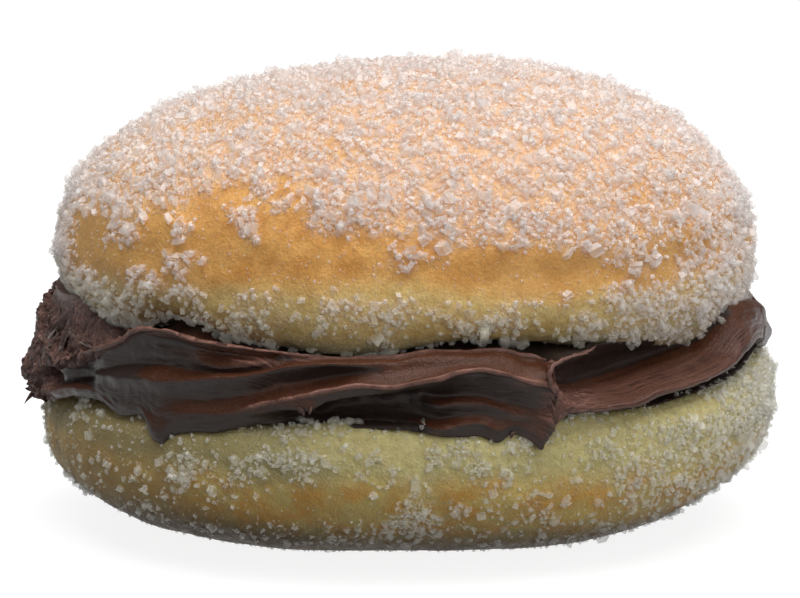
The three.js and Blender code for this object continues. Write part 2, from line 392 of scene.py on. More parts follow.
# ---------------------------------------------------------------- the dough
def upper_relief(P, N, a, r, z):
    d = 0.34 * fbm(P / 15.0, 2, 0.5, 2.0) + 0.13 * fbm(P / 4.5, 2, 0.5, 5.0) + 0.045 * fbm(P / 1.3, 2, 0.6, 7.0)
    edge = np.exp(-(((z - upper_edge(a)) / 1.6) ** 2)) * step(r, 33.0, 35.0)
    d = d + edge * (0.16 * fbm(P / 1.8, 3, 0.6, 11.0))
    return d * np.clip(0.25 + np.hypot(P[:, 0] - AXIS_X, P[:, 1]) / 8, 0, 1)


def lower_relief(P, N, a, r, z):
    d = 0.3 * fbm(P / 13.0, 2, 0.5, 32.0) + 0.12 * fbm(P / 4.0, 2, 0.5, 35.0) + 0.045 * fbm(P / 1.3, 2, 0.6, 37.0)
    edge = np.exp(-(((z - cut_face(a, r)) / 0.9) ** 2)) * step(r, 36.0, 38.0)
    d = d + edge * (0.18 * fbm(P / 1.6, 3, 0.6, 41.0))
    return d * step(z, 0.05, 2.5) * np.where(z > 17.5, step(r, 30, 36), 1)


upper, UV_ = turned(
    "dough_top", upper_profile, 3.0, 480, 0.52,
    lambda s: np.where(s < 0.75, 4.0, np.where(s < 1.0, 1.2, 1.0)), upper_relief,
)
lower, LV_ = turned(
    "dough_foot", lower_profile, 4.0, 480, 0.52,
    lambda s: np.where(s < 1, 2.5, np.where(s < 3.1, 1.0, 4.0)), lower_relief,
)
angle_u = np.arctan2(UV_[:, 1] / DEPTH, UV_[:, 0] - AXIS_X)
angle_l = np.arctan2(LV_[:, 1] / DEPTH, LV_[:, 0] - AXIS_X)
# where the browned crust gives way to the paler waist
attribute(upper, "zone", 31.2 + 1.9 * np.exp(-((wrap(angle_u + 1.5) / 0.75) ** 2)) + 0.6 * np.sin(3 * angle_u + 1.0) + 0.3 * np.sin(7 * angle_u))
attribute(lower, "zone", 12.0 + 0.8 * np.sin(2 * angle_l + 0.5) + 0.4 * np.sin(5 * angle_l + 2.0))
attribute(upper, "sugar", upper_sugar(UV_))
attribute(lower, "sugar", lower_sugar(LV_))


# ---------------------------------------------------------------- the cream
# Stations round the cream: angle, then height and radius of 14 points from where the top comes out from under
# the dough, over the top lip, two hollows and two crests, down to the foot.
STATIONS = [
    (-180.0, [(27.2, 40.4), (24.6, 42.2), (23.6, 42.4), (22.5, 42.6), (21.4, 42.8), (20.4, 43.1), (19.5, 43.6), (18.6, 43.9), (17.7, 44.0), (17.0, 44.0), (16.4, 43.9), (15.8, 43.6), (15.2, 43.2), (14.7, 42.6)]),
    (-173.0, [(27.4, 40.3), (23.4, 42.4), (22.5, 42.6), (21.6, 42.8), (20.8, 42.9), (20.0, 43.2), (19.2, 43.5), (18.4, 43.7), (17.6, 43.8), (16.9, 43.8), (16.3, 43.7), (15.7, 43.5), (15.2, 43.1), (14.8, 42.5)]),
    (-166.6, [(27.6, 40.2), (22.4, 42.6), (21.6, 42.8), (20.8, 43.0), (20.2, 43.0), (19.7, 43.2), (19.0, 43.2), (18.3, 43.3), (17.6, 43.3), (17.1, 43.2), (16.7, 43.3), (16.3, 43.2), (15.9, 43.0), (15.6, 42.5)]),
    (-156.4, [(28.3, 39.4), (21.4, 43.1), (20.9, 42.6), (20.5, 42.2), (20.2, 42.0), (19.8, 42.1), (19.4, 41.9), (18.9, 42.0), (18.6, 42.2), (18.3, 42.5), (18.1, 42.9), (17.8, 43.0), (17.5, 42.9), (17.1, 42.4)]),
    (-149.5, [(27.0, 38.8), (22.8, 43.0), (22.0, 42.2), (21.3, 41.4), (20.8, 40.9), (20.5, 40.8), (20.0, 40.8), (19.7, 41.2), (19.4, 41.8), (19.2, 42.2), (19.0, 42.6), (18.8, 42.8), (18.6, 42.7), (18.3, 42.3)]),
    (-143.5, [(25.7, 38.8), (24.2, 42.9), (23.1, 42.3), (22.3, 42.1), (21.7, 42.1), (21.1, 42.6), (20.4, 42.4), (20.0, 42.4), (19.6, 42.4), (19.4, 42.4), (19.2, 42.4), (18.9, 42.4), (18.8, 42.4), (18.5, 42.1)]),
    (-138.4, [(25.9, 38.6), (25.7, 42.6), (24.4, 41.9), (23.5, 41.7), (22.7, 41.5), (21.4, 42.8), (20.2, 42.4), (19.3, 42.4), (18.8, 42.4), (18.5, 42.4), (18.2, 42.4), (17.9, 42.4), (17.7, 42.4), (17.5, 42.1)]),
    (-133.9, [(27.3, 38.4), (27.4, 42.8), (25.6, 41.6), (24.4, 41.5), (23.2, 41.2), (21.8, 43.0), (20.5, 42.5), (19.7, 42.4), (19.2, 42.4), (18.9, 42.4), (18.7, 42.4), (18.4, 42.4), (18.2, 42.4), (17.9, 42.1)]),
    (-130.7, [(27.7, 38.3), (27.8, 42.9), (25.9, 41.5), (24.5, 41.5), (23.4, 41.2), (22.0, 43.1), (20.3, 42.5), (18.8, 42.5), (17.9, 42.6), (17.3, 42.7), (16.8, 42.8), (16.2, 42.9), (15.7, 42.8), (15.1, 42.3)]),
    (-129.3, [(27.8, 38.3), (27.8, 42.9), (26.0, 41.5), (24.6, 41.5), (23.4, 41.2), (22.1, 43.1), (20.2, 42.5), (18.6, 42.6), (17.7, 42.7), (17.1, 42.8), (16.6, 42.9), (16.1, 43.0), (15.5, 42.9), (14.9, 42.4)]),
    (-127.7, [(27.8, 38.3), (27.9, 42.9), (26.0, 41.5), (24.6, 41.5), (23.3, 41.1), (22.3, 43.1), (20.3, 42.4), (18.4, 42.7), (17.7, 42.7), (17.4, 42.7), (17.1, 42.7), (16.7, 42.7), (16.4, 42.7), (15.9, 42.2)]),
    (-124.0, [(27.3, 38.2), (27.4, 42.7), (25.8, 41.4), (24.4, 41.3), (23.2, 41.0), (22.6, 43.1), (20.4, 42.1), (18.7, 42.7), (18.2, 42.7), (17.9, 42.7), (17.7, 42.6), (17.5, 42.6), (17.2, 42.5), (16.8, 42.1)]),
    (-119.5, [(26.5, 38.0), (26.9, 42.2), (25.4, 40.7), (23.9, 41.8), (23.5, 41.2), (23.1, 43.0), (20.6, 41.9), (19.1, 42.7), (18.5, 42.7), (18.2, 42.6), (18.0, 42.5), (17.8, 42.5), (17.5, 42.4), (17.1, 42.0)]),
    (-115.3, [(26.3, 37.8), (26.6, 41.6), (25.5, 40.6), (24.3, 41.8), (23.9, 41.2), (23.5, 43.0), (21.0, 41.7), (19.8, 42.7), (19.3, 42.7), (19.0, 42.5), (18.8, 42.4), (18.6, 42.3), (18.4, 42.2), (18.0, 41.8)]),
    (-111.2, [(26.2, 37.6), (26.4, 40.9), (25.6, 40.4), (24.8, 41.0), (24.5, 40.8), (24.2, 42.9), (21.8, 41.5), (20.7, 42.8), (19.8, 42.6), (19.4, 42.0), (19.2, 41.6), (19.0, 41.4), (18.8, 41.3), (18.6, 41.0)]),
    (-107.3, [(25.9, 37.5), (25.9, 39.8), (25.4, 39.8), (25.2, 40.2), (25.2, 40.6), (25.0, 42.7), (22.6, 41.3), (21.5, 43.0), (20.1, 42.6), (19.4, 39.8), (19.1, 39.6), (18.9, 39.6), (18.7, 39.8), (18.5, 39.9)]),
    (-104.6, [(25.9, 37.5), (25.8, 39.7), (25.5, 39.7), (25.4, 40.1), (25.3, 40.5), (25.2, 42.6), (23.0, 41.1), (22.0, 43.0), (20.2, 42.7), (19.4, 39.4), (19.0, 39.2), (18.7, 39.3), (18.4, 39.6), (18.2, 39.8)]),
    (-101.3, [(25.9, 37.5), (25.7, 39.5), (25.5, 39.6), (25.5, 40.0), (25.5, 40.4), (25.4, 42.5), (23.6, 41.1), (22.6, 43.0), (21.4, 42.5), (20.4, 39.0), (19.7, 38.8), (19.0, 39.1), (18.5, 39.6), (18.1, 39.9)]),
    (-96.8, [(26.0, 37.5), (25.9, 39.7), (25.7, 39.8), (25.6, 40.0), (25.6, 40.6), (25.4, 42.2), (24.3, 41.6), (23.2, 42.9), (22.0, 42.4), (21.1, 39.0), (20.1, 38.8), (19.2, 39.1), (18.6, 39.6), (18.1, 40.0)]),
    (-92.4, [(26.0, 37.5), (26.0, 39.8), (25.8, 40.0), (25.7, 40.2), (25.6, 40.4), (25.4, 41.3), (24.6, 41.6), (23.0, 43.0), (22.4, 42.3), (21.2, 39.6), (20.4, 39.4), (19.3, 39.6), (18.6, 40.0), (18.0, 40.2)]),
    (-88.0, [(26.2, 37.5), (26.4, 39.6), (26.3, 39.8), (26.2, 40.1), (26.1, 40.3), (26.0, 40.9), (25.0, 41.4), (23.7, 43.1), (23.1, 42.5), (21.5, 40.4), (20.7, 40.4), (19.3, 40.4), (18.5, 40.8), (17.7, 40.8)]),
    (-85.1, [(26.3, 37.5), (26.5, 39.4), (26.4, 39.7), (26.3, 40.0), (26.3, 40.2), (26.1, 40.9), (25.2, 41.5), (24.1, 43.2), (23.5, 42.6), (21.4, 40.6), (20.7, 41.1), (19.1, 40.8), (18.2, 41.7), (17.3, 41.2)]),
    (-82.2, [(26.4, 37.5), (26.5, 39.4), (26.4, 39.7), (26.3, 40.0), (26.3, 40.2), (26.1, 41.0), (25.4, 41.6), (24.7, 43.2), (24.1, 42.6), (21.5, 40.7), (21.0, 41.4), (19.4, 40.9), (18.6, 41.9), (17.2, 41.3)]),
    (-79.2, [(26.3, 37.5), (26.4, 39.4), (26.3, 39.7), (26.2, 40.0), (26.2, 40.2), (26.1, 41.0), (25.5, 41.7), (24.8, 43.2), (24.2, 42.7), (21.4, 40.8), (20.9, 41.5), (19.6, 41.1), (18.8, 41.9), (17.3, 41.4)]),
    (-76.2, [(26.4, 37.5), (26.4, 39.4), (26.3, 39.6), (26.2, 40.0), (26.2, 40.2), (25.9, 41.0), (25.2, 41.8), (24.4, 43.2), (23.8, 42.8), (20.9, 41.0), (20.4, 41.7), (19.2, 41.4), (17.8, 42.0), (16.5, 41.6)]),
    (-73.9, [(26.4, 37.5), (26.2, 39.3), (26.1, 39.5), (25.9, 39.8), (25.9, 40.0), (25.5, 41.0), (24.8, 41.9), (23.8, 43.1), (23.0, 42.8), (20.5, 41.3), (19.7, 41.9), (18.9, 41.8), (18.2, 42.0), (17.4, 41.6)]),
    (-71.6, [(26.3, 37.5), (25.7, 39.0), (25.5, 39.3), (25.4, 39.7), (25.2, 40.0), (24.8, 41.1), (24.1, 42.3), (23.2, 43.2), (22.4, 42.8), (20.2, 41.8), (19.4, 42.1), (18.5, 42.2), (17.7, 42.3), (16.8, 41.8)]),
    (-69.5, [(26.2, 37.5), (25.4, 38.8), (25.2, 39.2), (25.1, 39.6), (24.9, 40.0), (24.5, 41.2), (23.8, 42.5), (22.8, 43.1), (22.0, 42.7), (20.3, 42.3), (19.2, 42.6), (17.9, 42.9), (16.6, 43.0), (15.5, 42.5)]),
    (-68.4, [(26.2, 37.5), (24.9, 39.2), (24.9, 41.0), (24.9, 42.6), (24.7, 43.3), (24.2, 43.5), (23.4, 43.4), (22.6, 43.4), (21.7, 43.0), (20.7, 42.4), (19.8, 42.8), (18.5, 43.0), (17.2, 42.9), (16.2, 42.4)]),
    (-67.3, [(26.3, 37.5), (25.2, 42.6), (24.6, 41.2), (23.9, 40.2), (23.4, 39.8), (22.9, 39.9), (22.3, 40.8), (21.8, 42.6), (21.3, 42.7), (20.7, 42.6), (20.2, 43.0), (19.6, 43.0), (18.9, 42.8), (18.1, 42.3)]),
    (-64.4, [(26.3, 40.8), (25.8, 42.0), (24.8, 40.8), (23.7, 39.0), (22.4, 38.6), (21.8, 39.5), (21.6, 40.1), (21.3, 40.8), (20.9, 41.4), (20.5, 42.0), (20.1, 42.6), (19.8, 42.8), (19.6, 42.7), (19.3, 41.0)]),
    (-60.1, [(26.5, 39.2), (26.0, 40.4), (24.9, 39.1), (23.5, 37.0), (22.0, 36.6), (21.3, 37.5), (21.2, 38.5), (20.9, 39.6), (20.5, 40.6), (20.2, 41.6), (19.8, 42.6), (19.6, 42.8), (19.4, 42.7), (19.1, 41.0)]),
    (-54.7, [(26.2, 36.4), (25.7, 37.6), (24.6, 36.8), (23.3, 35.6), (21.9, 35.2), (21.2, 36.1), (21.1, 37.4), (20.8, 38.7), (20.5, 40.0), (20.2, 41.3), (19.8, 42.6), (19.6, 42.8), (19.4, 42.7), (19.1, 41.0)]),
    (-48.8, [(25.9, 36.0), (25.4, 37.2), (24.5, 36.4), (23.4, 35.1), (22.2, 34.8), (21.6, 35.7), (21.5, 37.0), (21.3, 38.4), (21.1, 39.8), (20.8, 41.1), (20.6, 42.5), (20.3, 42.6), (20.1, 42.5), (19.8, 41.0)]),
    (-42.2, [(25.7, 36.0), (25.2, 37.2), (24.4, 36.4), (23.6, 35.1), (22.6, 34.8), (22.1, 35.7), (22.0, 37.0), (21.7, 38.4), (21.4, 39.7), (21.2, 41.0), (20.8, 42.4), (20.6, 42.5), (20.4, 42.4), (20.1, 41.0)]),
    (-35.8, [(25.9, 36.1), (25.4, 37.3), (24.7, 36.6), (23.9, 35.6), (23.0, 35.2), (22.6, 36.1), (22.4, 37.4), (22.1, 38.6), (21.8, 39.9), (21.6, 41.1), (21.2, 42.4), (21.0, 42.5), (20.8, 42.4), (20.5, 41.0)]),
    (-29.6, [(26.4, 36.2), (25.9, 37.4), (25.2, 36.9), (24.3, 36.4), (23.4, 36.0), (22.9, 36.9), (22.9, 38.0), (22.7, 39.0), (22.5, 40.1), (22.3, 41.2), (22.1, 42.2), (21.8, 42.4), (21.6, 42.3), (21.3, 41.0)]),
    (-23.8, [(27.5, 37.5), (27.5, 38.6), (27.3, 39.2), (27.0, 39.7), (26.7, 40.1), (26.3, 40.5), (25.8, 40.9), (25.4, 41.2), (24.9, 41.5), (24.3, 41.8), (23.7, 42.0), (23.2, 42.2), (22.6, 42.2), (22.3, 41.0)]),
    (-18.7, [(27.4, 38.0), (27.3, 39.6), (27.1, 40.2), (26.8, 40.6), (26.5, 40.9), (26.2, 41.1), (25.7, 41.3), (25.3, 41.5), (24.8, 41.6), (24.3, 41.7), (24.0, 41.8), (23.6, 41.9), (23.1, 41.9), (22.8, 41.2)]),
    (-8.0, [(26.2, 38.4), (26.0, 40.3), (25.7, 40.9), (25.4, 41.2), (25.1, 41.4), (24.7, 41.5), (24.3, 41.6), (23.8, 41.6), (23.4, 41.7), (23.0, 41.8), (22.6, 41.8), (22.0, 41.7), (21.4, 41.6), (20.8, 40.8)]),
    (1.0, [(25.2, 38.4), (24.9, 40.4), (24.6, 40.9), (24.2, 41.0), (23.8, 41.0), (23.3, 41.1), (22.7, 41.4), (22.1, 42.0), (21.6, 42.3), (21.1, 42.3), (20.7, 42.2), (20.3, 42.0), (20.0, 41.6), (19.7, 40.8)]),
    (14.0, [(25.4, 38.2), (25.1, 40.6), (24.7, 40.2), (24.2, 40.2), (23.7, 40.5), (23.1, 41.6), (22.4, 41.6), (21.7, 42.2), (21.0, 42.6), (20.4, 42.6), (20.0, 42.5), (19.6, 42.5), (19.1, 42.3), (18.7, 41.8)]),
    (26.0, [(26.8, 38.0), (26.7, 41.4), (25.4, 40.4), (24.4, 40.3), (23.6, 40.4), (22.8, 42.0), (21.8, 41.4), (21.0, 42.5), (20.2, 42.6), (19.4, 42.4), (18.9, 42.5), (18.4, 42.6), (17.9, 42.5), (17.4, 42.1)]),
    (36.0, [(27.0, 38.0), (27.0, 41.9), (25.6, 40.6), (24.2, 40.3), (23.2, 40.7), (22.2, 42.4), (21.0, 41.6), (20.0, 42.5), (19.2, 42.7), (18.5, 42.6), (17.9, 42.7), (17.3, 42.8), (16.8, 42.7), (16.3, 42.2)]),
    (48.0, [(26.4, 37.8), (26.2, 41.6), (25.2, 40.4), (24.1, 40.8), (23.4, 40.7), (22.7, 42.5), (21.2, 41.2), (20.2, 42.5), (19.5, 42.6), (19.0, 42.3), (18.6, 42.4), (18.2, 42.5), (17.8, 42.4), (17.4, 42.0)]),
    (63.0, [(25.4, 37.6), (25.2, 40.6), (24.6, 40.2), (24.1, 41.0), (23.6, 40.8), (23.0, 42.7), (21.1, 41.3), (19.8, 42.8), (18.9, 42.7), (18.1, 42.5), (17.4, 42.7), (16.7, 42.8), (16.1, 42.8), (15.4, 42.3)]),
    (76.0, [(25.6, 37.5), (25.5, 40.0), (25.1, 40.0), (24.7, 40.6), (24.3, 40.6), (23.8, 42.5), (22.1, 41.1), (20.9, 42.9), (20.1, 42.5), (19.3, 40.8), (18.8, 40.9), (18.4, 41.4), (17.9, 41.5), (17.4, 41.2)]),
    (88.0, [(26.6, 37.5), (26.5, 40.0), (26.1, 40.0), (25.7, 40.4), (25.3, 40.6), (24.7, 42.2), (23.3, 41.4), (21.9, 43.0), (21.0, 42.4), (19.9, 40.0), (19.2, 40.0), (18.7, 40.5), (18.1, 40.8), (17.6, 40.6)]),
    (101.0, [(27.0, 37.6), (27.0, 40.8), (26.2, 40.2), (25.3, 41.0), (24.8, 40.7), (24.3, 42.4), (22.7, 41.2), (21.2, 43.0), (20.3, 42.5), (19.4, 40.6), (18.7, 40.9), (18.0, 41.6), (17.3, 41.7), (16.7, 41.4)]),
    (112.0, [(26.8, 37.8), (26.9, 41.6), (25.6, 40.4), (24.2, 41.2), (23.6, 40.9), (23.0, 42.7), (21.1, 41.6), (19.7, 42.9), (18.8, 42.7), (18.0, 42.4), (17.3, 42.6), (16.7, 42.7), (16.1, 42.6), (15.5, 42.2)]),
    (124.0, [(26.0, 37.9), (26.1, 42.1), (24.8, 40.8), (23.6, 41.0), (22.8, 40.9), (22.0, 42.8), (20.4, 41.9), (19.2, 42.6), (18.7, 42.6), (18.3, 42.4), (18.0, 42.5), (17.7, 42.5), (17.4, 42.4), (17.0, 42.0)]),
    (138.0, [(25.6, 38.2), (25.6, 42.4), (24.2, 41.4), (23.0, 41.1), (22.1, 41.3), (21.3, 42.9), (20.2, 42.3), (19.1, 42.6), (18.5, 42.6), (18.1, 42.5), (17.8, 42.5), (17.5, 42.5), (17.1, 42.4), (16.7, 42.1)]),
    (152.0, [(26.1, 38.8), (25.6, 42.7), (24.2, 42.0), (22.9, 41.8), (21.8, 41.9), (20.8, 43.0), (19.7, 42.8), (18.7, 43.0), (18.0, 43.1), (17.4, 43.0), (16.8, 43.0), (16.2, 43.0), (15.7, 42.8), (15.1, 42.4)]),
    (166.0, [(27.4, 39.8), (25.4, 42.3), (24.4, 42.2), (23.2, 42.3), (22.1, 42.5), (21.0, 43.0), (19.9, 43.4), (18.9, 43.6), (18.0, 43.7), (17.3, 43.7), (16.6, 43.6), (16.0, 43.4), (15.4, 43.0), (14.9, 42.5)]),
]

def monotone(x, y, q):
    """Piecewise cubic through x, y (period 360) without overshoot, at q."""
    x = np.concatenate([x[-3:] - 360, x, x[:3] + 360])
    y = np.concatenate([y[-3:], y, y[:3]])
    h = np.diff(x)
    d = np.diff(y, axis=0) / h.reshape((-1,) + (1,) * (y.ndim - 1))
    m = np.zeros_like(y)
    a, b = d[:-1], d[1:]
    same = (a * b) > 0
    w1 = (2 * h[1:] + h[:-1]).reshape((-1,) + (1,) * (y.ndim - 1))
    w2 = (h[1:] + 2 * h[:-1]).reshape((-1,) + (1,) * (y.ndim - 1))
    with np.errstate(divide="ignore", invalid="ignore"):
        mm = (w1 + w2) / (w1 / a + w2 / b)
    m[1:-1] = np.where(same, mm, 0)
    k = np.clip(np.searchsorted(x, q, side="right") - 1, 0, len(x) - 2)
    hk = h[k]
    t = (q - x[k]) / hk
    sh = (-1,) + (1,) * (y.ndim - 1)
    t, hk = t.reshape(sh), hk.reshape(sh)
    return (
        (2 * t**3 - 3 * t**2 + 1) * y[k]
        + (t**3 - 2 * t**2 + t) * hk * m[k]
        + (-2 * t**3 + 3 * t**2) * y[k + 1]
        + (t**3 - t**2) * hk * m[k + 1]
    )


# Places on the front of the cream, as for the sugar: where the torn end is roughest, where a rope of cream stands up,
# where painted light makes the cream warmer and lighter, and where pink highlights are painted.
ROUGH_SPOTS = [(40, 335, 4, 24, 0.5), (30, 370, 9, 16, 0.9), (50, 391, 30, 7, 0.9), (72, 357, 18, 6, 0.8), (58, 287, 9, 9, 0.45), (86, 314, 9, 6, 0.5), (82, 326, 18, 12, 0.35), (66, 305, 10, 12, 0.4)]
ROPE_SPOTS = [(40, 332, 2.4, 20, 0.42), (42, 311, 4, 5, 0.35), (70, 357, 12, 3, 0.35), (27, 366, 6, 9, 0.55), (54, 391, 16, 4, 0.35)]
PAINTED_LIGHT_SPOTS = [(285, 388, 60, 12, 0.4), (175, 386, 32, 10, 0.22), (250, 411, 30, 5, 0.7), (296, 405, 26, 6, 0.7), (205, 352, 16, 12, 0.5), (170, 378, 40, 3, 0.25)]
PAINTED_HIGHLIGHT_SPOTS = [
    (40, 333, 2.6, 20, 0.9), (41, 311, 4, 5, 0.6), (64, 358, 7, 3.5, 0.9), (80, 353, 7, 3, 0.7), (96, 347, 8, 2.5, 0.5),
    (38, 391, 7, 4, 0.9), (52, 391, 9, 5, 1.0), (67, 391, 6, 4, 0.7), (26, 362, 4, 5, 0.8), (27, 378, 4, 4, 0.7), (47, 381, 6, 5, 0.5),
    (80, 318, 5, 5, 0.35), (246, 354, 24, 7, 0.65), (300, 395, 50, 8, 0.16), (265, 384, 50, 7, 0.14), (402, 373, 26, 4, 0.45), (528, 381, 13, 6, 0.75), (575, 398, 24, 6, 0.60), (580, 391, 28, 11, 0.32), (437, 433, 5, 3, 0.6),
    (449, 428, 7, 2.5, 0.7), (466, 424, 9, 2.2, 0.7), (483, 423, 7, 2, 0.6), (536, 434, 11, 13, 0.40), (520, 418, 14, 3, 0.4), (470, 402, 26, 3, 0.3),
    (605, 388, 34, 8, 0.22), (640, 374, 40, 8, 0.14),
]
# A rolled lip where the middle ribbon ends against the right one: place in the frame, and radius.
ROLL = [(588, 353.5, 41.2), (580, 355, 41.6), (571, 357, 42.2), (560, 361, 43.0), (552, 367, 43.6), (549, 375, 43.8), (550, 384, 43.6), (553, 391, 43.3), (557, 394, 43.0)]
# Bundles of strands on the torn end: points of the middle line, how far the strands spread, how many.
STRANDS = [
    ([(74, 310), (62, 321), (50, 334), (45, 349), (47, 363), (54, 374)], 5.0, 26),
    ([(96, 333), (86, 329), (76, 330), (66, 338), (60, 351), (57, 364)], 3.5, 12),
    ([(62, 296), (57, 311), (52, 327), (56, 344)], 5.0, 8),
]


def unproject(x, y, r):
    """The place of radius r that shows at x, y of the frame, in millimetres: the way back from screen()."""
    e = math.radians(10.4)
    ce, se = math.cos(e), math.sin(e)
    u, w = (x - 400) * 0.11549, (550 - y) * 0.11549 - 29.79
    depth = 560 + 0 * u
    for _ in range(12):
        X = u * depth / 600
        Y = -DEPTH * np.sqrt(np.maximum(r * r - (X - AXIS_X) ** 2, 0))
        z = (w * depth / 600 - Y * se) / ce
        depth = 600 + Y * ce - z * se
    return np.stack([X, Y, z + 26.0], -1)


def window(deg, lo, hi, soft):
    return step(deg, lo - soft, lo) * step(-deg, -hi - soft, -hi)


def build_cream():
    # columns: finer at the front
    deg = np.concatenate([np.linspace(-180, 0, 640, endpoint=False), np.linspace(0, 180, 340, endpoint=False)])
    a = np.radians(deg)
    n = len(deg)
    K = monotone(np.array([s[0] for s in STATIONS]), np.array([s[1] for s in STATIONS]), deg)  # n x 14 x 2
    z, r = K[..., 0].copy(), K[..., 1].copy()
    # small wander of every line, so that no ridge is ruled
    line = np.arange(14)[None, :]
    q = np.stack([np.cos(a)[:, None] * 9 + 0 * z, np.sin(a)[:, None] * 9 + 0 * z, line * 3.7 + 0 * z], -1).reshape(-1, 3)
    z = z + 0.10 * fbm(q, 3, 0.5, 3.0).reshape(z.shape) * (line > 0)
    r = r + 0.10 * fbm(q * 1.7 + 50, 3, 0.5).reshape(z.shape) * (line > 0)
    # the far side was smeared with less care: its lines rise and fall more
    loose = window(deg, 14, 158, 16)[:, None] * ((line > 0) & (line < 13))
    q = np.stack([np.cos(a)[:, None] * 3.4 + 0 * z, np.sin(a)[:, None] * 3.4 + 0 * z, line * 0.55 + 0 * z], -1).reshape(-1, 3)
    z = z + 0.42 * loose * fbm(q, 2, 0.5, 23.0).reshape(z.shape)
    r = r + 0.30 * loose * fbm(q, 2, 0.5, 29.0).reshape(z.shape)
    # how far the top lip stands free of the dough behind it
    blade = window(deg, -152, -112, 8) + 0.9 * window(deg, -67.5, -60, 3) + 0.55 * window(deg, -106, -70, 4)
    blade = np.clip(blade + 0.8 * window(deg, 20, 52, 10) + 0.7 * window(deg, 96, 142, 14), 0, 1)
    # the gap under the right ribbon's lower lip
    gap = window(deg, -66, -14, 4) + 0.7 * window(deg, 66, 104, 8)
    cave = window(deg, -106, -86, 6)
    for k, f in ((9, 1.0), (10, 1.0), (11, 0.9), (12, 0.6)):
        r[:, k] -= 2.4 * f * cave * step(-r[:, k], -41.2, -40.0)
    z[:, 0] -= 1.25 * blade
    behind = np.stack([z[:, 1] - 0.95 * blade - 0.15, r[:, 1] - 0.8 - 0.25 * (1 - blade)], -1)
    under = np.stack([z[:, 12] - 0.22 * gap - 0.35 * (1 - gap), r[:, 12] - 0.85 * gap - 0.22 * (1 - gap)], -1)
    edge_r = lower_rim(a) + 0.35
    edge_z = cut_face(a, edge_r) + 0.12
    z13, r13 = z[:, 13] * (1 - gap) + edge_z * gap, r[:, 13] * (1 - gap) + edge_r * gap
    z13 = np.minimum(z13, under[:, 0] - 0.3)
    inner = np.stack([
        (under[:, 0] * 0.5 + z13 * 0.5) * (1 - gap) + np.minimum(edge_z + 0.35, under[:, 0] - 0.1) * gap,
        (under[:, 1] * 0.5 + r13 * 0.5) * (1 - gap) + 36.4 * gap,
    ], -1)
    z = np.concatenate([z[:, :1], behind[:, :1], z[:, 1:13], under[:, :1], inner[:, :1], z13[:, None]], 1)
    r = np.concatenate([r[:, :1], behind[:, 1:], r[:, 1:13], under[:, 1:], inner[:, 1:], r13[:, None]], 1)
    # the curve through the points, then rows along it, closer together at the lips
    ten = np.array([0.5, 0.6, 0.6, 0.25, 0.7, 0.8, 0.35, 0.6, 0.9, 0.35, 0.25, 0.8, 0.6, 0.8, 0.4, 0.5, 0.5, 0.5, 0.5])
    pr = np.concatenate([r[:, :1] * 2 - r[:, 1:2], r, r[:, -1:] * 2 - r[:, -2:-1]], 1)
    pz = np.concatenate([z[:, :1] * 2 - z[:, 1:2], z, z[:, -1:] * 2 - z[:, -2:-1]], 1)
    seg = np.hypot(np.diff(pr, axis=1), np.diff(pz, axis=1)) + 1e-3

    def tangent(p, j):
        d0 = (p[:, j] - p[:, j - 1]) / seg[:, j - 1]
        d1 = (p[:, j + 1] - p[:, j]) / seg[:, j]
        w = seg[:, j] / (seg[:, j] + seg[:, j - 1])
        return d0 * w + d1 * (1 - w)

    fine_r, fine_z, fine_t = [], [], []
    for k in range(16):
        i = k + 1
        L = seg[:, i]
        for c in range(10):
            t = c / 10
            h00, h10, h01, h11 = 2 * t**3 - 3 * t**2 + 1, t**3 - 2 * t**2 + t, -2 * t**3 + 3 * t**2, t**3 - t**2
            for p, out in ((pr, fine_r), (pz, fine_z)):
                out.append(h00 * p[:, i] + h10 * L * ten[i] * tangent(p, i) + h01 * p[:, i + 1] + h11 * L * ten[i + 1] * tangent(p, i + 1))
            fine_t.append(k + t)
    fine_r.append(r[:, -1])
    fine_z.append(z[:, -1])
    fine_t.append(16.0)
    fine_r, fine_z, fine_t = np.array(fine_r), np.array(fine_z), np.array(fine_t)
    ds = np.hypot(np.diff(fine_r, axis=0), np.diff(fine_z, axis=0))
    mid = 0.5 * (fine_t[1:] + fine_t[:-1])[:, None]
    closer = 1 + 1.2 * (np.exp(-(((mid - 2.1) / 0.5) ** 2)) + np.exp(-(((mid - 8.1) / 0.5) ** 2)) + 0.6 * np.exp(-(((mid - 13.1) / 0.5) ** 2)))
    cost = np.concatenate([np.zeros((1, n)), np.cumsum(ds * closer + 0.004, 0)], 0)
    count = 88
    R, Z, T = (np.empty((count, n)) for _ in range(3))
    for j in range(n):
        where = np.interp(np.linspace(0, cost[-1, j], count), cost[:, j], fine_t)
        T[:, j] = where
        R[:, j] = np.interp(where, fine_t, fine_r[:, j])
        Z[:, j] = np.interp(where, fine_t, fine_z[:, j])
    length = np.concatenate([np.zeros((1, n)), np.cumsum(ds, 0)], 0)
    A = np.broadcast_to(a, R.shape)
    D = np.degrees(A)
    P = place(R, A, Z)
    N = -vertex_normals(P)
    flatP = P.reshape(-1, 3)
    # length down the side: the across-stroke coordinate
    v = np.concatenate([np.zeros((1, n)), np.cumsum(np.hypot(np.diff(R, axis=0), np.diff(Z, axis=0)), 0)], 0)
    vv = 0.75 * v.mean(1)[:, None] + 0.25 * v

    def at(x):  # length down to profile place x, in each column
        return length[int(round(x * 10))][None, :]

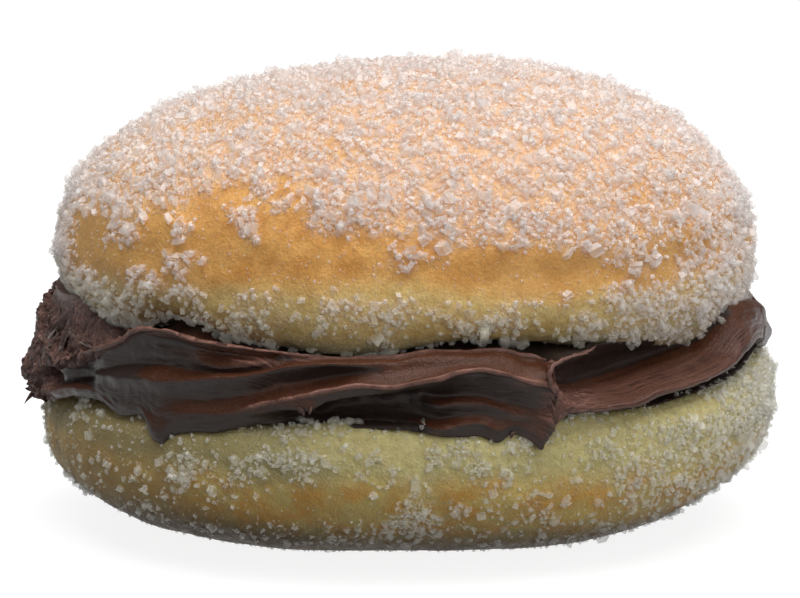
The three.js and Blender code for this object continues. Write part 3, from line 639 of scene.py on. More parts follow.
    # beads along the free lips
    thick = window(deg, -152, -118, 8)[None, :]
    bead = 0.30 * blade[None, :] * np.exp(-(((v - at(2.0) - 0.15 - 0.08 * thick) / (0.26 + 0.16 * thick)) ** 2))
    lip3 = window(deg, -112, -69, 4) + 0.5 * window(deg, 60, 112, 8)
    bead = bead + 0.32 * lip3[None, :] * np.exp(-(((v - at(8.0) + 0.10) / 0.24) ** 2))
    bead = bead + 0.10 * gap[None, :] * np.exp(-(((v - at(13.0) + 0.12) / 0.2) ** 2))
    # strokes of the knife
    sc = np.stack([np.cos(A) * 41 / 16, np.sin(A) * 41 / 16, vv / 0.55], -1).reshape(-1, 3)
    sf = np.stack([np.cos(A) * 41 / 9, np.sin(A) * 41 / 9, vv / 0.24 + 40], -1).reshape(-1, 3)
    s1 = fbm(sc, 2, 0.6, 61.0).reshape(R.shape)
    s2 = fbm(sf, 2, 0.6, 71.0).reshape(R.shape)
    hollow = np.exp(-(((T - 3.6) / 1.3) ** 2)) + np.exp(-(((T - 7.2) / 1.1) ** 2)) + 0.7 * np.exp(-(((T - 10.6) / 1.6) ** 2))
    strong = window(D, -68, -62, 3) * window(T, 8.0, 13.0, 1.0) + 0.8 * window(D, -116, -106, 4) * window(T, 2.4, 4.5, 0.6)
    right = window(D, -62, -16, 4)
    stria = 0.020 * s1 * (0.5 + 0.6 * hollow + 6.0 * strong + 0.2 * right) + 0.012 * s2 * (0.5 + 0.6 * hollow + 8.0 * strong + 2.2 * right)
    lump = 0.14 * fbm(flatP / 5.0, 2, 0.5, 81.0).reshape(R.shape) + 0.05 * fbm(flatP / 1.6, 2, 0.5, 83.0).reshape(R.shape)
    grains = 0.02 * fbm(flatP / 0.42, 2, 0.6, 91.0).reshape(R.shape)
    # the torn end at the left, fibrous and crumbling
    torn = np.clip(window(D, -190, -151, 6) + step(D, 158, 170), 0, 1)
    crest = at(2.0)
    above = step(crest - v, 0.0, 0.5)
    torn = np.clip(torn + above * window(D, -152, -140, 8), 0, 1)
    lower_face = step(v - crest, 0.4, 1.2) * window(D, -157, -130, 3)
    torn = torn * (1 - lower_face)
    arc = A * 41
    along, over = arc * 0.72 + Z * 0.69, -arc * 0.69 + Z * 0.72
    fib = np.stack([along / 4.2, over / 0.62, R / 2.0], -1).reshape(-1, 3)
    folds = ridged(np.stack([along / 6.5, over / 2.5, R / 5.0], -1).reshape(-1, 3), 2, 0.45, 101.0).reshape(R.shape)
    fibres = ridged(fib, 3, 0.6, 107.0).reshape(R.shape)
    crumbs = fbm(flatP / 0.75, 3, 0.65, 121.0).reshape(R.shape)
    patchy = step(fbm(flatP / 3.0, 2, 0.5, 117.0).reshape(R.shape), -0.25, 0.35)
    front = facing(flatP)
    rough = np.clip(patches(ROUGH_SPOTS, flatP, front, 2.0).reshape(R.shape), 0, 1)
    rough = np.maximum(rough, (1 - front).reshape(R.shape) * patchy * 0.7)
    rope = patches(ROPE_SPOTS, flatP, front, 2.0).reshape(R.shape)
    turn = [1.8 * fbm(flatP / 4.5, 2, 0.5, 141.0 + 5 * k).reshape(R.shape) for k in range(2)]
    swirls = ridged(np.stack([(along + turn[0]) / 3.4, (over + turn[1]) / 1.15, R / 3.0], -1).reshape(-1, 3), 2, 0.5, 151.0).reshape(R.shape)
    wild = 0.75 * folds + 0.40 * swirls + 0.22 * fibres + 0.40 * crumbs * (0.10 + 0.90 * rough) + 0.4 * fbm(flatP / 4.0, 2, 0.5, 111.0).reshape(R.shape) - 0.92 + rope
    ridge = 0.5 * fibres + 0.5 * swirls
    # painted shade in the grooves between the ridges of the torn end
    painted_groove_shade = 0.75 * torn * step(-ridge, -0.42, -0.10)
    hole = np.exp(-(((D + 161.5) / 3.4) ** 2) - ((Z - 18.9) / 0.75) ** 2) * 1.7
    rim = np.exp(-(((D + 160) / 4.5) ** 2) - ((Z - 17.6) / 0.45) ** 2) * 0.55
    lump = lump * (1 - 0.6 * window(D, -62, 6, 4))
    peel = 0.014 * fbm(flatP / 0.30, 2, 0.6, 95.0).reshape(R.shape) * (0.35 + window(D, -125, -62, 4)) * step(N[..., 2], 0.0, 0.5)
    # painted highlight: pink along the beaded lips, in listed spots, on the torn end's ridges, along the striae and
    # faintly on the leaf; it becomes the 'edge' attribute
    painted_highlight = np.clip(bead / 0.18, 0, 1.2) * (1 - torn) * (0.6 + 0.4 * fbm(flatP / 1.1, 2, 0.5, 97.0).reshape(R.shape))
    painted_highlight = painted_highlight + patches(PAINTED_HIGHLIGHT_SPOTS, flatP, front, 2.0).reshape(R.shape) * (0.55 + 0.45 * torn) * np.clip(0.75 + 0.7 * s2, 0.2, 1.2)
    painted_highlight = painted_highlight + 0.55 * torn * step(ridge, 0.50, 0.85)
    leaf = window(D, -65, -14, 4) * step(T, 6.5, 8.0) * step(-T, -13.4, -13.0)
    painted_highlight = np.clip(painted_highlight + 1.3 * strong * np.clip(0.4 * s1 + s2, 0, 1) + 0.10 * leaf, 0, 1)
    from_lip = window(D, -66, -14, 4) * step(T, 5.0, 6.5)
    stroke = vv * (1 - from_lip) + (10 + v - at(13.0)) * from_lip
    d = (stria + lump + grains + bead + peel) * (1 - torn) + wild * torn - hole + rim
    ends = step(T, 0.0, 0.6) * step(-T, -16.0, -15.4)
    P = P + N * (d * ends)[..., None]
    shake = np.stack([fbm(flatP / 0.9, 3, 0.6, 131.0 + 9 * k).reshape(R.shape) for k in range(3)], -1)
    P = P + shake * (0.30 * torn * ends * (0.12 + 0.88 * rough))[..., None]
    # painted light and shade: 'up' follows how far each face turns up to the lamp, so up-turned faces take the lit
    # cream tone and down-turned ones the shaded tone
    up = -vertex_normals(P)[..., 2]
    for _ in range(2):
        up = (up + np.roll(up, 1, 1) + np.roll(up, -1, 1)) / 3
        up[1:-1] = (up[:-2] + up[1:-1] + up[2:]) / 3
    # painted shade in the deep middle hollow, in the channel under the dough on the right, on the rows under the foot
    # and on the face under the left top lip
    up = up - 0.35 * np.clip(41.2 - R, 0, 3) * window(D, -112, -68, 4) - 0.9 * window(D, -66, -26, 4) * step(-T, -6.0, -5.2) - 1.0 * step(T, 14.0, 14.6)
    up = up - 0.85 * window(D, -154, -136, 6) * window(T, 4.0, 9.0, 1.0)
    # patches of painted light, which lift the cream toward its lit tone
    up = up + patches(PAINTED_LIGHT_SPOTS, flatP, front, 2.0).reshape(R.shape)
    # roof and floor, hidden between the halves
    top_rows = [place(rr + 0 * a, a, underside(a, rr + 0 * a) - GAP) for rr in (14.0, 26.0)]
    rr = np.minimum(upper_edge_radius(a) - 2.2, R[0] - 1.6)
    top_rows.append(place(rr, a, underside(a, rr) - 0.35))
    rr = np.minimum(upper_edge_radius(a) - 0.6, R[0] - 0.5)
    top_rows.append(place(rr, a, np.minimum(underside(a, rr) - 0.3, Z[0] + 0.5)))
    rim_r = lower_rim(a)
    rr = np.minimum(rim_r + 0.4, R[-1] - 0.5)
    bot_rows = [place(rr, a, np.maximum(cut_face(a, rr) + 0.2, Z[-1] + 0.05))]
    for f in (0.93, 0.75, 0.4):
        bot_rows.append(place(rim_r * f, a, cut_face(a, rim_r * f) + GAP))
    full = np.concatenate([np.array(top_rows), P, np.array(bot_rows)], 0)
    rows = full.shape[0]
    V = np.concatenate([full.reshape(-1, 3), [[AXIS_X, 0, UPPER_SAG - GAP], [AXIS_X, 0, cut_face(0.0, 0.0) + GAP]]])
    quads = grid_faces(rows, n)[:, ::-1]
    f0 = fan(rows * n, 0, n, up=True)
    f1 = fan(rows * n + 1, (rows - 1) * n, n, up=False)
    pad0, pad1 = len(top_rows), len(bot_rows)

    def padded(x):
        x = np.concatenate([np.repeat(x[:1], pad0, 0), x, np.repeat(x[-1:], pad1, 0)], 0)
        return np.concatenate([x.ravel(), [x[0].mean(), x[-1].mean()]])

    torn_all, stroke_all, painted_light_all, painted_highlight_all, leaf_all, painted_groove_shade_all = (padded(x) for x in (torn, stroke, up, painted_highlight, leaf, painted_groove_shade))
    # flakes and curls that stand out of the torn end
    rng = np.random.default_rng(77)
    sv, sf_, st = [], [], []
    base = len(V)
    picks = np.argwhere((torn > 0.75) & (T > 0.5) & (T < 15.4))
    chance = 0.03 + rough[picks[:, 0], picks[:, 1]]
    picks = picks[rng.choice(len(picks), 80, replace=False, p=chance / chance.sum())]
    spikes = [(P[i, j], N[i, j] + rng.normal(0, 0.5, 3), rng.uniform(0.25, 0.6), rng.uniform(0.18, 0.42)) for i, j in picks]
    for ang, zz, tip, length, width in (
        (-171, 15.7, (-0.62, -0.2, -0.8), 2.1, 0.50), (-176, 15.3, (-1, 0, -0.35), 0.9, 0.5), (-172, 17.6, (-1, 0, 0.1), 0.7, 0.5),
        (-166, 15.4, (-0.6, -0.5, -0.7), 0.7, 0.4),
        (-105.4, 20.3, (0.1, -0.3, -1), 0.9, 0.45), (-104.2, 20.4, (-0.25, -0.3, -1), 0.7, 0.4), (-74, 16.9, (0, -0.3, -1), 0.8, 0.4),
    ):
        j = int(np.argmin(np.abs(wrap(a - math.radians(ang)))))
        i = int(np.argmin(np.abs(P[:, j, 2] - zz) + 0.05 * np.abs(T[:, j] - 11)))
        spikes.append((P[i, j], np.array(tip, float), length, width))
    for p, direction, length, width in spikes:
        direction = direction / np.linalg.norm(direction)
        direction = direction + rng.normal(0, 0.35 if length < 1.05 else 0.05, 3)
        direction /= np.linalg.norm(direction)
        side = np.cross(direction, rng.normal(size=3))
        side /= np.linalg.norm(side)
        other = np.cross(direction, side)
        ring, k = [], 5
        for f, wf in ((-0.35, 1.0), (0.35, 0.8), (0.7, 0.42)):
            bend = side * width * 0.5 * f * f * rng.uniform(-1, 1)
            for c in range(k):
                an = 2 * math.pi * c / k + 0.4 * f
                ring.append(p + direction * length * f + bend + (side * math.cos(an) + other * math.sin(an) * 0.55) * width * wf * rng.uniform(0.8, 1.2))
        ring += [p + direction * length, p - direction * length * 0.45]
        F = []
        for row in range(2):
            for c in range(k):
                c1 = (c + 1) % k
                F += [[row * k + c, row * k + c1, (row + 1) * k + c1], [row * k + c, (row + 1) * k + c1, (row + 1) * k + c]]
        for c in range(k):
            c1 = (c + 1) % k
            F += [[2 * k + c, 2 * k + c1, 3 * k], [c1, c, 3 * k + 1]]
        sv.append(np.array(ring))
        sf_.append(np.array(F) + base)
        st.append(np.full(len(ring), 1.0))
        base += len(ring)
    # strands drawn out along the torn end
    strand_sheen_all = np.concatenate([0 * torn_all] + [0 * x for x in st])
    su, sw = screen(P.reshape(-1, 3))
    view = np.array([0.0, -math.cos(math.radians(10.4)), math.sin(math.radians(10.4))])
    seen = np.where(((-vertex_normals(P)).reshape(-1, 3) @ view > 0.05) & (D.ravel() < -146) & (torn.ravel() > 0.7) & (T.ravel() > 0.5) & (T.ravel() < 15))[0]
    for line, spread, number in STRANDS:
        line = np.array(line, float)
        for _ in range(number):
            lo = rng.uniform(0, 0.45)
            hi = rng.uniform(lo + 0.35, 1.0) if lo < 0.6 else 1.0
            q = np.linspace(lo, hi, 14) * (len(line) - 1)
            cx, cy = (np.interp(q, np.arange(len(line)), line[:, k]) for k in (0, 1))
            for _ in range(2):
                cx[1:-1] = (cx[:-2] + cx[1:-1] * 2 + cx[2:]) / 4
                cy[1:-1] = (cy[:-2] + cy[1:-1] * 2 + cy[2:]) / 4
            across_x, across_y = -np.gradient(cy), np.gradient(cx)
            size = np.hypot(across_x, across_y) + 1e-6
            off = rng.normal(0, 0.55) * spread + 1.6 * np.sin(q * rng.uniform(1.0, 2.4) + rng.uniform(0, 6))
            cx, cy = cx + off * across_x / size, cy + off * across_y / size
            at_ = np.array([seen[np.argmin((su[seen] - x) ** 2 + (sw[seen] - y) ** 2)] for x, y in zip(cx, cy)])
            path = P.reshape(-1, 3)[at_] + view * 0.07
            for _ in range(4):
                path[1:-1] = (path[:-2] + path[1:-1] * 2 + path[2:]) / 4
            along_ = np.gradient(path, axis=0)
            along_ /= np.linalg.norm(along_, axis=1)[:, None] + 1e-9
            side = np.cross(along_, view)
            side /= np.linalg.norm(side, axis=1)[:, None] + 1e-9
            other = np.cross(side, along_)
            thick_ = rng.uniform(0.045, 0.10) * np.sin(np.linspace(0.25, math.pi - 0.25, 14)) ** 0.6
            ring = np.stack([path + (side * math.cos(an) + other * math.sin(an)) * thick_[:, None] for an in (0.5, 2.6, 4.7)], 1).reshape(-1, 3)
            F = [[0, 1, 2], [41, 40, 39]]
            for row in range(13):
                for c in range(3):
                    p0, p1, q0, q1 = row * 3 + c, row * 3 + (c + 1) % 3, row * 3 + 3 + c, row * 3 + 3 + (c + 1) % 3
                    F += [[p0, q0, q1], [p0, q1, p1]]
            sv.append(ring)
            sf_.append(np.array(F) + base)
            st.append(np.full(len(ring), 0.6))
            strand_sheen_all = np.concatenate([strand_sheen_all, np.full(len(ring), rng.uniform(0.4, 1.0))])
            base += len(ring)
    # the rolled lip
    q = np.linspace(0, len(ROLL) - 1, 34)
    px, py, pr_ = (np.interp(q, np.arange(len(ROLL)), [p[k] for p in ROLL]) for k in range(3))
    path = unproject(px, py, pr_)
    for _ in range(3):
        path[1:-1] = (path[:-2] + path[1:-1] * 2 + path[2:]) / 4
    along_ = np.gradient(path, axis=0)
    along_ /= np.linalg.norm(along_, axis=1)[:, None]
    side = np.cross(along_, view)
    side /= np.linalg.norm(side, axis=1)[:, None]
    other = np.cross(side, along_)
    thick_ = np.interp(q, [0, 2, 4, 6, 7.4, 8], [0.05, 0.14, 0.26, 0.28, 0.30, 0.12])
    around = 2 * math.pi * np.arange(8) / 8
    ring = np.stack([path + (side * math.cos(an) + other * math.sin(an)) * (thick_ * (1 + 0.22 * np.sin(q * 5.3 + an)))[:, None] for an in around], 1).reshape(-1, 3)
    ring = ring + 0.05 * np.stack([perlin(ring / 0.35 + 7 * k) for k in range(3)], -1)
    F = [[k, (k + 1) % 8, 272] for k in range(8)] + [[264 + (k + 1) % 8, 264 + k, 273] for k in range(8)]
    for row in range(33):
        for c in range(8):
            p0, p1, q0, q1 = row * 8 + c, row * 8 + (c + 1) % 8, row * 8 + 8 + c, row * 8 + 8 + (c + 1) % 8
            F += [[p0, q0, q1], [p0, q1, p1]]
    ring = np.concatenate([ring, path[:1], path[-1:]])
    sv.append(ring)
    sf_.append(np.array(F) + base)
    st.append(np.full(len(ring), 0.12))
    strand_sheen_all = np.concatenate([strand_sheen_all, np.zeros(len(ring))])
    V = np.concatenate([V] + sv)
    torn_all = np.concatenate([torn_all] + st)
    stroke_all = np.concatenate([stroke_all] + [0 * x for x in st])
    painted_light_all = np.concatenate([painted_light_all] + [0 * x for x in st])
    # the rolled lip gets a painted highlight as well
    painted_highlight_all = np.concatenate([painted_highlight_all] + [0 * x for x in st[:-1]] + [0.6 + 0 * st[-1]])
    leaf_all = np.concatenate([leaf_all] + [0 * x for x in st])
    painted_groove_shade_all = np.concatenate([painted_groove_shade_all] + [0 * x for x in st])
    ob = mesh_object("cream_spread", V * MM, [quads, f0, f1, np.concatenate(sf_)])
    attribute(ob, "torn", torn_all)
    attribute(ob, "stroke", stroke_all)
    # 'up' carries painted light and shade for the cream's colour
    attribute(ob, "up", painted_light_all)
    # 'edge' holds the painted highlight
    attribute(ob, "edge", painted_highlight_all)
    attribute(ob, "leaf", leaf_all)
    attribute(ob, "painted_groove_shade", painted_groove_shade_all)
    attribute(ob, "strand_sheen", strand_sheen_all)
    return ob, P


def triangles(ob):
    ob.data.calc_loop_triangles()
    return len(ob.data.loop_triangles)


cream, CP_ = build_cream()
print("cream", [round(float(x), 2) for x in (CP_[..., 0].min(), CP_[..., 0].max(), CP_[..., 2].min(), CP_[..., 2].max())], len(cream.data.polygons))


# ---------------------------------------------------------------- sugar
def hull_box(rng, cut):
    """A jittered block with some of its corners cut off: a crystal. Returns verts and triangles."""
    size = np.array([1.0, rng.uniform(0.7, 1.0), rng.uniform(0.55, 0.9)])
    pts = []
    corners = [np.array([x, y, z], float) for x in (-1, 1) for y in (-1, 1) for z in (-1, 1)]
    chosen = set(rng.choice(8, cut, replace=False).tolist())
    shear = rng.uniform(-0.25, 0.25, 3)
    for k, c in enumerate(corners):
        if k in chosen:
            for ax in range(3):
                d = c.copy()
                d[ax] -= np.sign(c[ax]) * rng.uniform(0.45, 1.0)
                pts.append(d)
        else:
            pts.append(c)
    pts = np.array(pts) * (1 + rng.uniform(-0.12, 0.12, (len(pts), 3)))
    pts = pts * size * 0.5
    pts[:, 0] += shear[0] * pts[:, 1] + shear[1] * pts[:, 2]
    pts[:, 1] += shear[2] * pts[:, 2]
    return hull(pts)


def hull(pts):
    bm = bmesh.new()
    vs = [bm.verts.new(p) for p in pts]
    bmesh.ops.convex_hull(bm, input=vs)
    loose = [v for v in bm.verts if not v.link_faces]
    bmesh.ops.delete(bm, geom=loose, context="VERTS")
    bmesh.ops.triangulate(bm, faces=bm.faces[:])
    bmesh.ops.recalc_face_normals(bm, faces=bm.faces[:])
    bm.verts.ensure_lookup_table()
    for i, v in enumerate(bm.verts):
        v.index = i
    V = np.array([v.co[:] for v in bm.verts])
    F = np.array([[v.index for v in f.verts] for f in bm.faces])
    bm.free()
    return V, F


def chunk(rng, n):
    """An irregular lump: the hull of a few points on a squashed ball."""
    q = rng.normal(size=(n, 3))
    for _ in range(12):  # spread the points over the ball
        q /= np.linalg.norm(q, axis=1)[:, None]
        d = q[:, None] - q[None]
        w = (d**2).sum(-1) + 1e-2
        q = q + 0.08 * (d / w[..., None]).sum(1)
    q /= np.linalg.norm(q, axis=1)[:, None]
    return hull(q * rng.uniform(0.85, 1.1, (n, 1)) * np.array([0.54, rng.uniform(0.4, 0.52), rng.uniform(0.34, 0.46)]))


def grain(rng):
    """A small rounded grain: a jittered octahedron."""
    V = np.array([[1, 0, 0], [-1, 0, 0], [0, 1, 0], [0, -1, 0], [0, 0, 1], [0, 0, -1]], float) * 0.55
    V = V * rng.uniform(0.75, 1.1, (6, 1)) + rng.uniform(-0.16, 0.16, (6, 3))
    F = np.array([[0, 2, 4], [2, 1, 4], [1, 3, 4], [3, 0, 4], [2, 0, 5], [1, 2, 5], [3, 1, 5], [0, 3, 5]])
    return V, F


def quaternions(rng, n):
    q = rng.normal(size=(n, 4))
    q /= np.linalg.norm(q, axis=1)[:, None]
    w, x, y, z = q.T
    return np.stack([
        1 - 2 * (y * y + z * z), 2 * (x * y - z * w), 2 * (x * z + y * w),
        2 * (x * y + z * w), 1 - 2 * (x * x + z * z), 2 * (y * z - x * w),
        2 * (x * z - y * w), 2 * (y * z + x * w), 1 - 2 * (x * x + y * y),
    ], -1).reshape(n, 3, 3)


def surface_samples(ob, V, density, rng, count):
    """Points on the mesh, with chance by area times density. Returns points and normals in mm."""
    me = ob.data
    me.calc_loop_triangles()
    tris = np.empty(len(me.loop_triangles) * 3, np.int32)
    me.loop_triangles.foreach_get("vertices", tris)
    tris = tris.reshape(-1, 3)
    A, B, C = V[tris[:, 0]], V[tris[:, 1]], V[tris[:, 2]]
    n = np.cross(B - A, C - A)
    area = np.linalg.norm(n, axis=1) / 2
    n = n / np.maximum(2 * area[:, None], 1e-12)
    w = area * density((A + B + C) / 3)
    c = np.cumsum(w)
    k = np.searchsorted(c, rng.uniform(0, c[-1], count))
    u, v = rng.uniform(size=(2, count))
    flip = u + v > 1
    u[flip], v[flip] = 1 - u[flip], 1 - v[flip]
    P = A[k] + u[:, None] * (B - A)[k] + v[:, None] * (C - A)[k]
    return P, n[k], c[-1]


def spread_out(P, radius, gap, keep):
    """Keeps points so that two are no closer than gap times the sum of their radii. First come, first kept."""
    cell = 2 * radius.max() * gap
    grid = {}
    out = []
    key = np.floor(P / cell).astype(int)
    for i in range(len(P)):
        kx, ky, kz = key[i]
        ok = True
        p, ri = P[i], radius[i]
        for dx in (-1, 0, 1):
            for dy in (-1, 0, 1):
                for dz in (-1, 0, 1):
                    for j in grid.get((kx + dx, ky + dy, kz + dz), ()):
                        q = P[j]
                        lim = gap * (ri + radius[j])
                        if (p[0] - q[0]) ** 2 + (p[1] - q[1]) ** 2 + (p[2] - q[2]) ** 2 < lim * lim:
                            ok = False
                            break
                    if not ok:
                        break
                if not ok:
                    break
            if not ok:
                break
        if ok:
            grid.setdefault((kx, ky, kz), []).append(i)
            out.append(i)
            if len(out) >= keep:
                break
    return np.array(out, int)


def crystals(name, P, N, size, templates, rng, lift, flat=True):
    """Joins one crystal at each point into one mesh. size is its largest width in mm."""
    n = len(P)
    which = rng.integers(0, len(templates), n)
    R = quaternions(rng, n)
    stretch = rng.uniform(0.82, 1.18, (n, 3))
    C = P + N * (size * lift)[:, None]
    vs, fs, base, tone = [], [], 0, []
    shade = rng.uniform(0, 1, n)
    for t, (V, F) in enumerate(templates):
        i = np.where(which == t)[0]
        if not len(i):
            continue
        W = (V[None] * stretch[i][:, None, :]) * size[i][:, None, None]
        W = np.einsum("nij,nkj->nki", R[i], W) + C[i][:, None, :]
        vs.append(W.reshape(-1, 3))
        fs.append((F[None] + (np.arange(len(i)) * len(V))[:, None, None]).reshape(-1, 3) + base)
        tone.append(np.repeat(shade[i], len(V)))
        base += len(i) * len(V)
    V = np.concatenate(vs)
    low = V[:, 2].min()
    V[:, 2] = np.maximum(V[:, 2], 0.02)
    ob = mesh_object(name, V * MM, [np.concatenate(fs)], flat=flat)
    if flat:  # some crystals have sharp faces and others are worn round
        worn = np.concatenate([np.repeat(shade[which == t] * 7 % 1 < 0.45, len(templates[t][1])) for t in range(len(templates))])
        ob.data.polygons.foreach_set("use_smooth", worn)
    attribute(ob, "tone", np.concatenate(tone))
    print(name, n, "crystals", len(ob.data.polygons), "triangles")
    return ob


def sugar(name, ob, V, density, seed, coarse_n, fine_n, power, typical):
    rng = np.random.default_rng(seed)
    blocks = [hull_box(rng, c) for c in (0, 1, 1, 2)] + [chunk(rng, k) for k in (7, 8, 8, 9, 7, 8)]
    small = [grain(rng) for _ in range(8)]
    # coarse crystals, in clumps where the sugar lies thick
    clump = lambda P: np.clip(density(P) - 0.3, 0, 1.5) ** power * (0.30 + 1.25 * np.maximum(fbm(P / 3.2, 2, 0.5, seed + 3), 0) + 0.8 * np.maximum(fbm(P / 1.7, 1, 0.5, seed), 0)) + 0.034 * (density(P) > 0.03)
    P, N, total = surface_samples(ob, V, clump, rng, coarse_n * 5)
    size = np.clip(rng.lognormal(math.log(typical), 0.27, len(P)), 0.42, 1.35)
    keep = spread_out(P, size * 0.5, 0.56, coarse_n)
    P1, N1, S1 = P[keep], N[keep], size[keep]
    # some lie on top of others where it is thickest
    if name == "sugar_top":  # one stands up on the crown, and some on the rim of it
        x, y = screen(V)
        for px, big_ in ((523, 1.25), (392, 0.95), (616, 0.9), (468, 0.85), (300, 0.8)):
            i = int(np.argmin(y + 40 * np.abs(x - px)))
            P1 = np.concatenate([P1, [V[i] + np.array([0.0, 0.0, 0.25 * big_])]])
            N1 = np.concatenate([N1, [[0.0, -0.3, 0.95]]])
            S1 = np.concatenate([S1, [big_]])
    thick = density(P1)
    top = np.where((thick > 0.95) & (rng.uniform(size=len(P1)) < 0.32 * (thick - 0.6)))[0]
    lift = rng.uniform(0.12, 0.34, len(P1))
    P2 = P1[top] + N1[top] * (S1[top] * 0.62)[:, None] + rng.normal(0, 0.16, (len(top), 3))
    big = crystals(name + "_coarse", np.concatenate([P1, P2]), np.concatenate([N1, N1[top]]), np.concatenate([S1, S1[top] * 0.82]), blocks, rng, np.concatenate([lift, rng.uniform(0.1, 0.3, len(top))]))
    fine = lambda P: np.clip(density(P), 0, 0.8) * (0.6 + 0.9 * np.maximum(fbm(P / 3.2, 2, 0.5, seed + 3), 0)) + 0.24
    P, N, total = surface_samples(ob, V, fine, rng, fine_n * 2)
    size = np.clip(rng.lognormal(math.log(0.36), 0.24, len(P)), 0.18, 0.58)
    keep = spread_out(P, size * 0.5, 0.66, fine_n)
    little = crystals(name + "_fine", P[keep], N[keep], size[keep], small, rng, rng.uniform(-0.1, 0.22, len(keep)), flat=False)
    return big, little


top_big, top_small = sugar("sugar_top", upper, UV_, upper_sugar, 11, 12400, 13000, 1.0, 0.78)
low_big, low_small = sugar("sugar_foot", lower, LV_, lower_sugar, 12, 5400, 9000, 1.2, 0.66)


counts = {o.name: triangles(o) for o in (upper, lower, cream, top_big, top_small, low_big, low_small)}
print("triangles", counts, sum(counts.values()))


# ---------------------------------------------------------------- materials
class Nodes:
    def __init__(self, name):
        self.mat = bpy.data.materials.new(name)
        self.mat.use_nodes = True
        self.t = self.mat.node_tree
        self.t.nodes.clear()
        self.out = self.t.nodes.new("ShaderNodeOutputMaterial")
        self.bsdf = self.t.nodes.new("ShaderNodeBsdfPrincipled")
        self.t.links.new(self.bsdf.outputs[0], self.out.inputs[0])

    def node(self, kind, **kw):
        n = self.t.nodes.new(kind)
        for k, v in kw.items():
            setattr(n, k, v)
        return n

    def link(self, a, b):
        self.t.links.new(a, b)

    def value(self, socket, v):
        if hasattr(v, "links"):
            self.link(v, socket)
        else:
            socket.default_value = v

    def math(self, op, a, b=0.0, c=0.0, clamp=False):
        n = self.node("ShaderNodeMath", operation=op, use_clamp=clamp)
        self.value(n.inputs[0], a)
        self.value(n.inputs[1], b)
        if op in ("MULTIPLY_ADD", "WRAP", "COMPARE"):
            self.value(n.inputs[2], c)
        return n.outputs[0]

    def ramp(self, x, a, b, lo=0.0, hi=1.0):
        n = self.node("ShaderNodeMapRange", interpolation_type="SMOOTHSTEP")
        self.value(n.inputs["Value"], x)
        for k, v in (("From Min", a), ("From Max", b), ("To Min", lo), ("To Max", hi)):
            self.value(n.inputs[k], v)
        return n.outputs["Result"]

    def mix(self, f, a, b, kind="MIX"):
        n = self.node("ShaderNodeMix", data_type="RGBA", blend_type=kind, clamp_factor=True)
        self.value(n.inputs[0], f)
        for s, v in ((n.inputs[6], a), (n.inputs[7], b)):
            if hasattr(v, "links"):
                self.link(v, s)
            else:
                s.default_value = (*v, 1)
        return n.outputs[2]

    def coords(self):
        c = self.node("ShaderNodeTexCoord").outputs["Object"]
        m = self.node("ShaderNodeMapping")
        m.inputs["Scale"].default_value = (1000, 1000, 1000)
        self.link(c, m.inputs["Vector"])
        return m.outputs[0]

    def noise(self, vec, scale, detail=2.0, rough=0.5, distortion=0.0):
        n = self.node("ShaderNodeTexNoise")
        self.link(vec, n.inputs["Vector"])
        n.inputs["Scale"].default_value = scale
        n.inputs["Detail"].default_value = detail
        n.inputs["Roughness"].default_value = rough
        n.inputs["Distortion"].default_value = distortion
        return n.outputs["Fac"]

    def voronoi(self, vec, scale, feature="F1"):
        n = self.node("ShaderNodeTexVoronoi", feature=feature)
        self.link(vec, n.inputs["Vector"])
        n.inputs["Scale"].default_value = scale
        return n

    def attr(self, name):
        n = self.node("ShaderNodeAttribute", attribute_name=name)
        return n.outputs["Fac"]

    def bump(self, height, distance, strength=1.0, normal=None):
        n = self.node("ShaderNodeBump")
        self.link(height, n.inputs["Height"])
        n.inputs["Distance"].default_value = distance
        n.inputs["Strength"].default_value = strength
        if normal is not None:
            self.link(normal, n.inputs["Normal"])
        return n.outputs[0]


def srgb(r, g, b):
    return tuple(((c / 255 + 0.055) / 1.055) ** 2.4 if c / 255 > 0.04045 else c / 255 / 12.92 for c in (r, g, b))


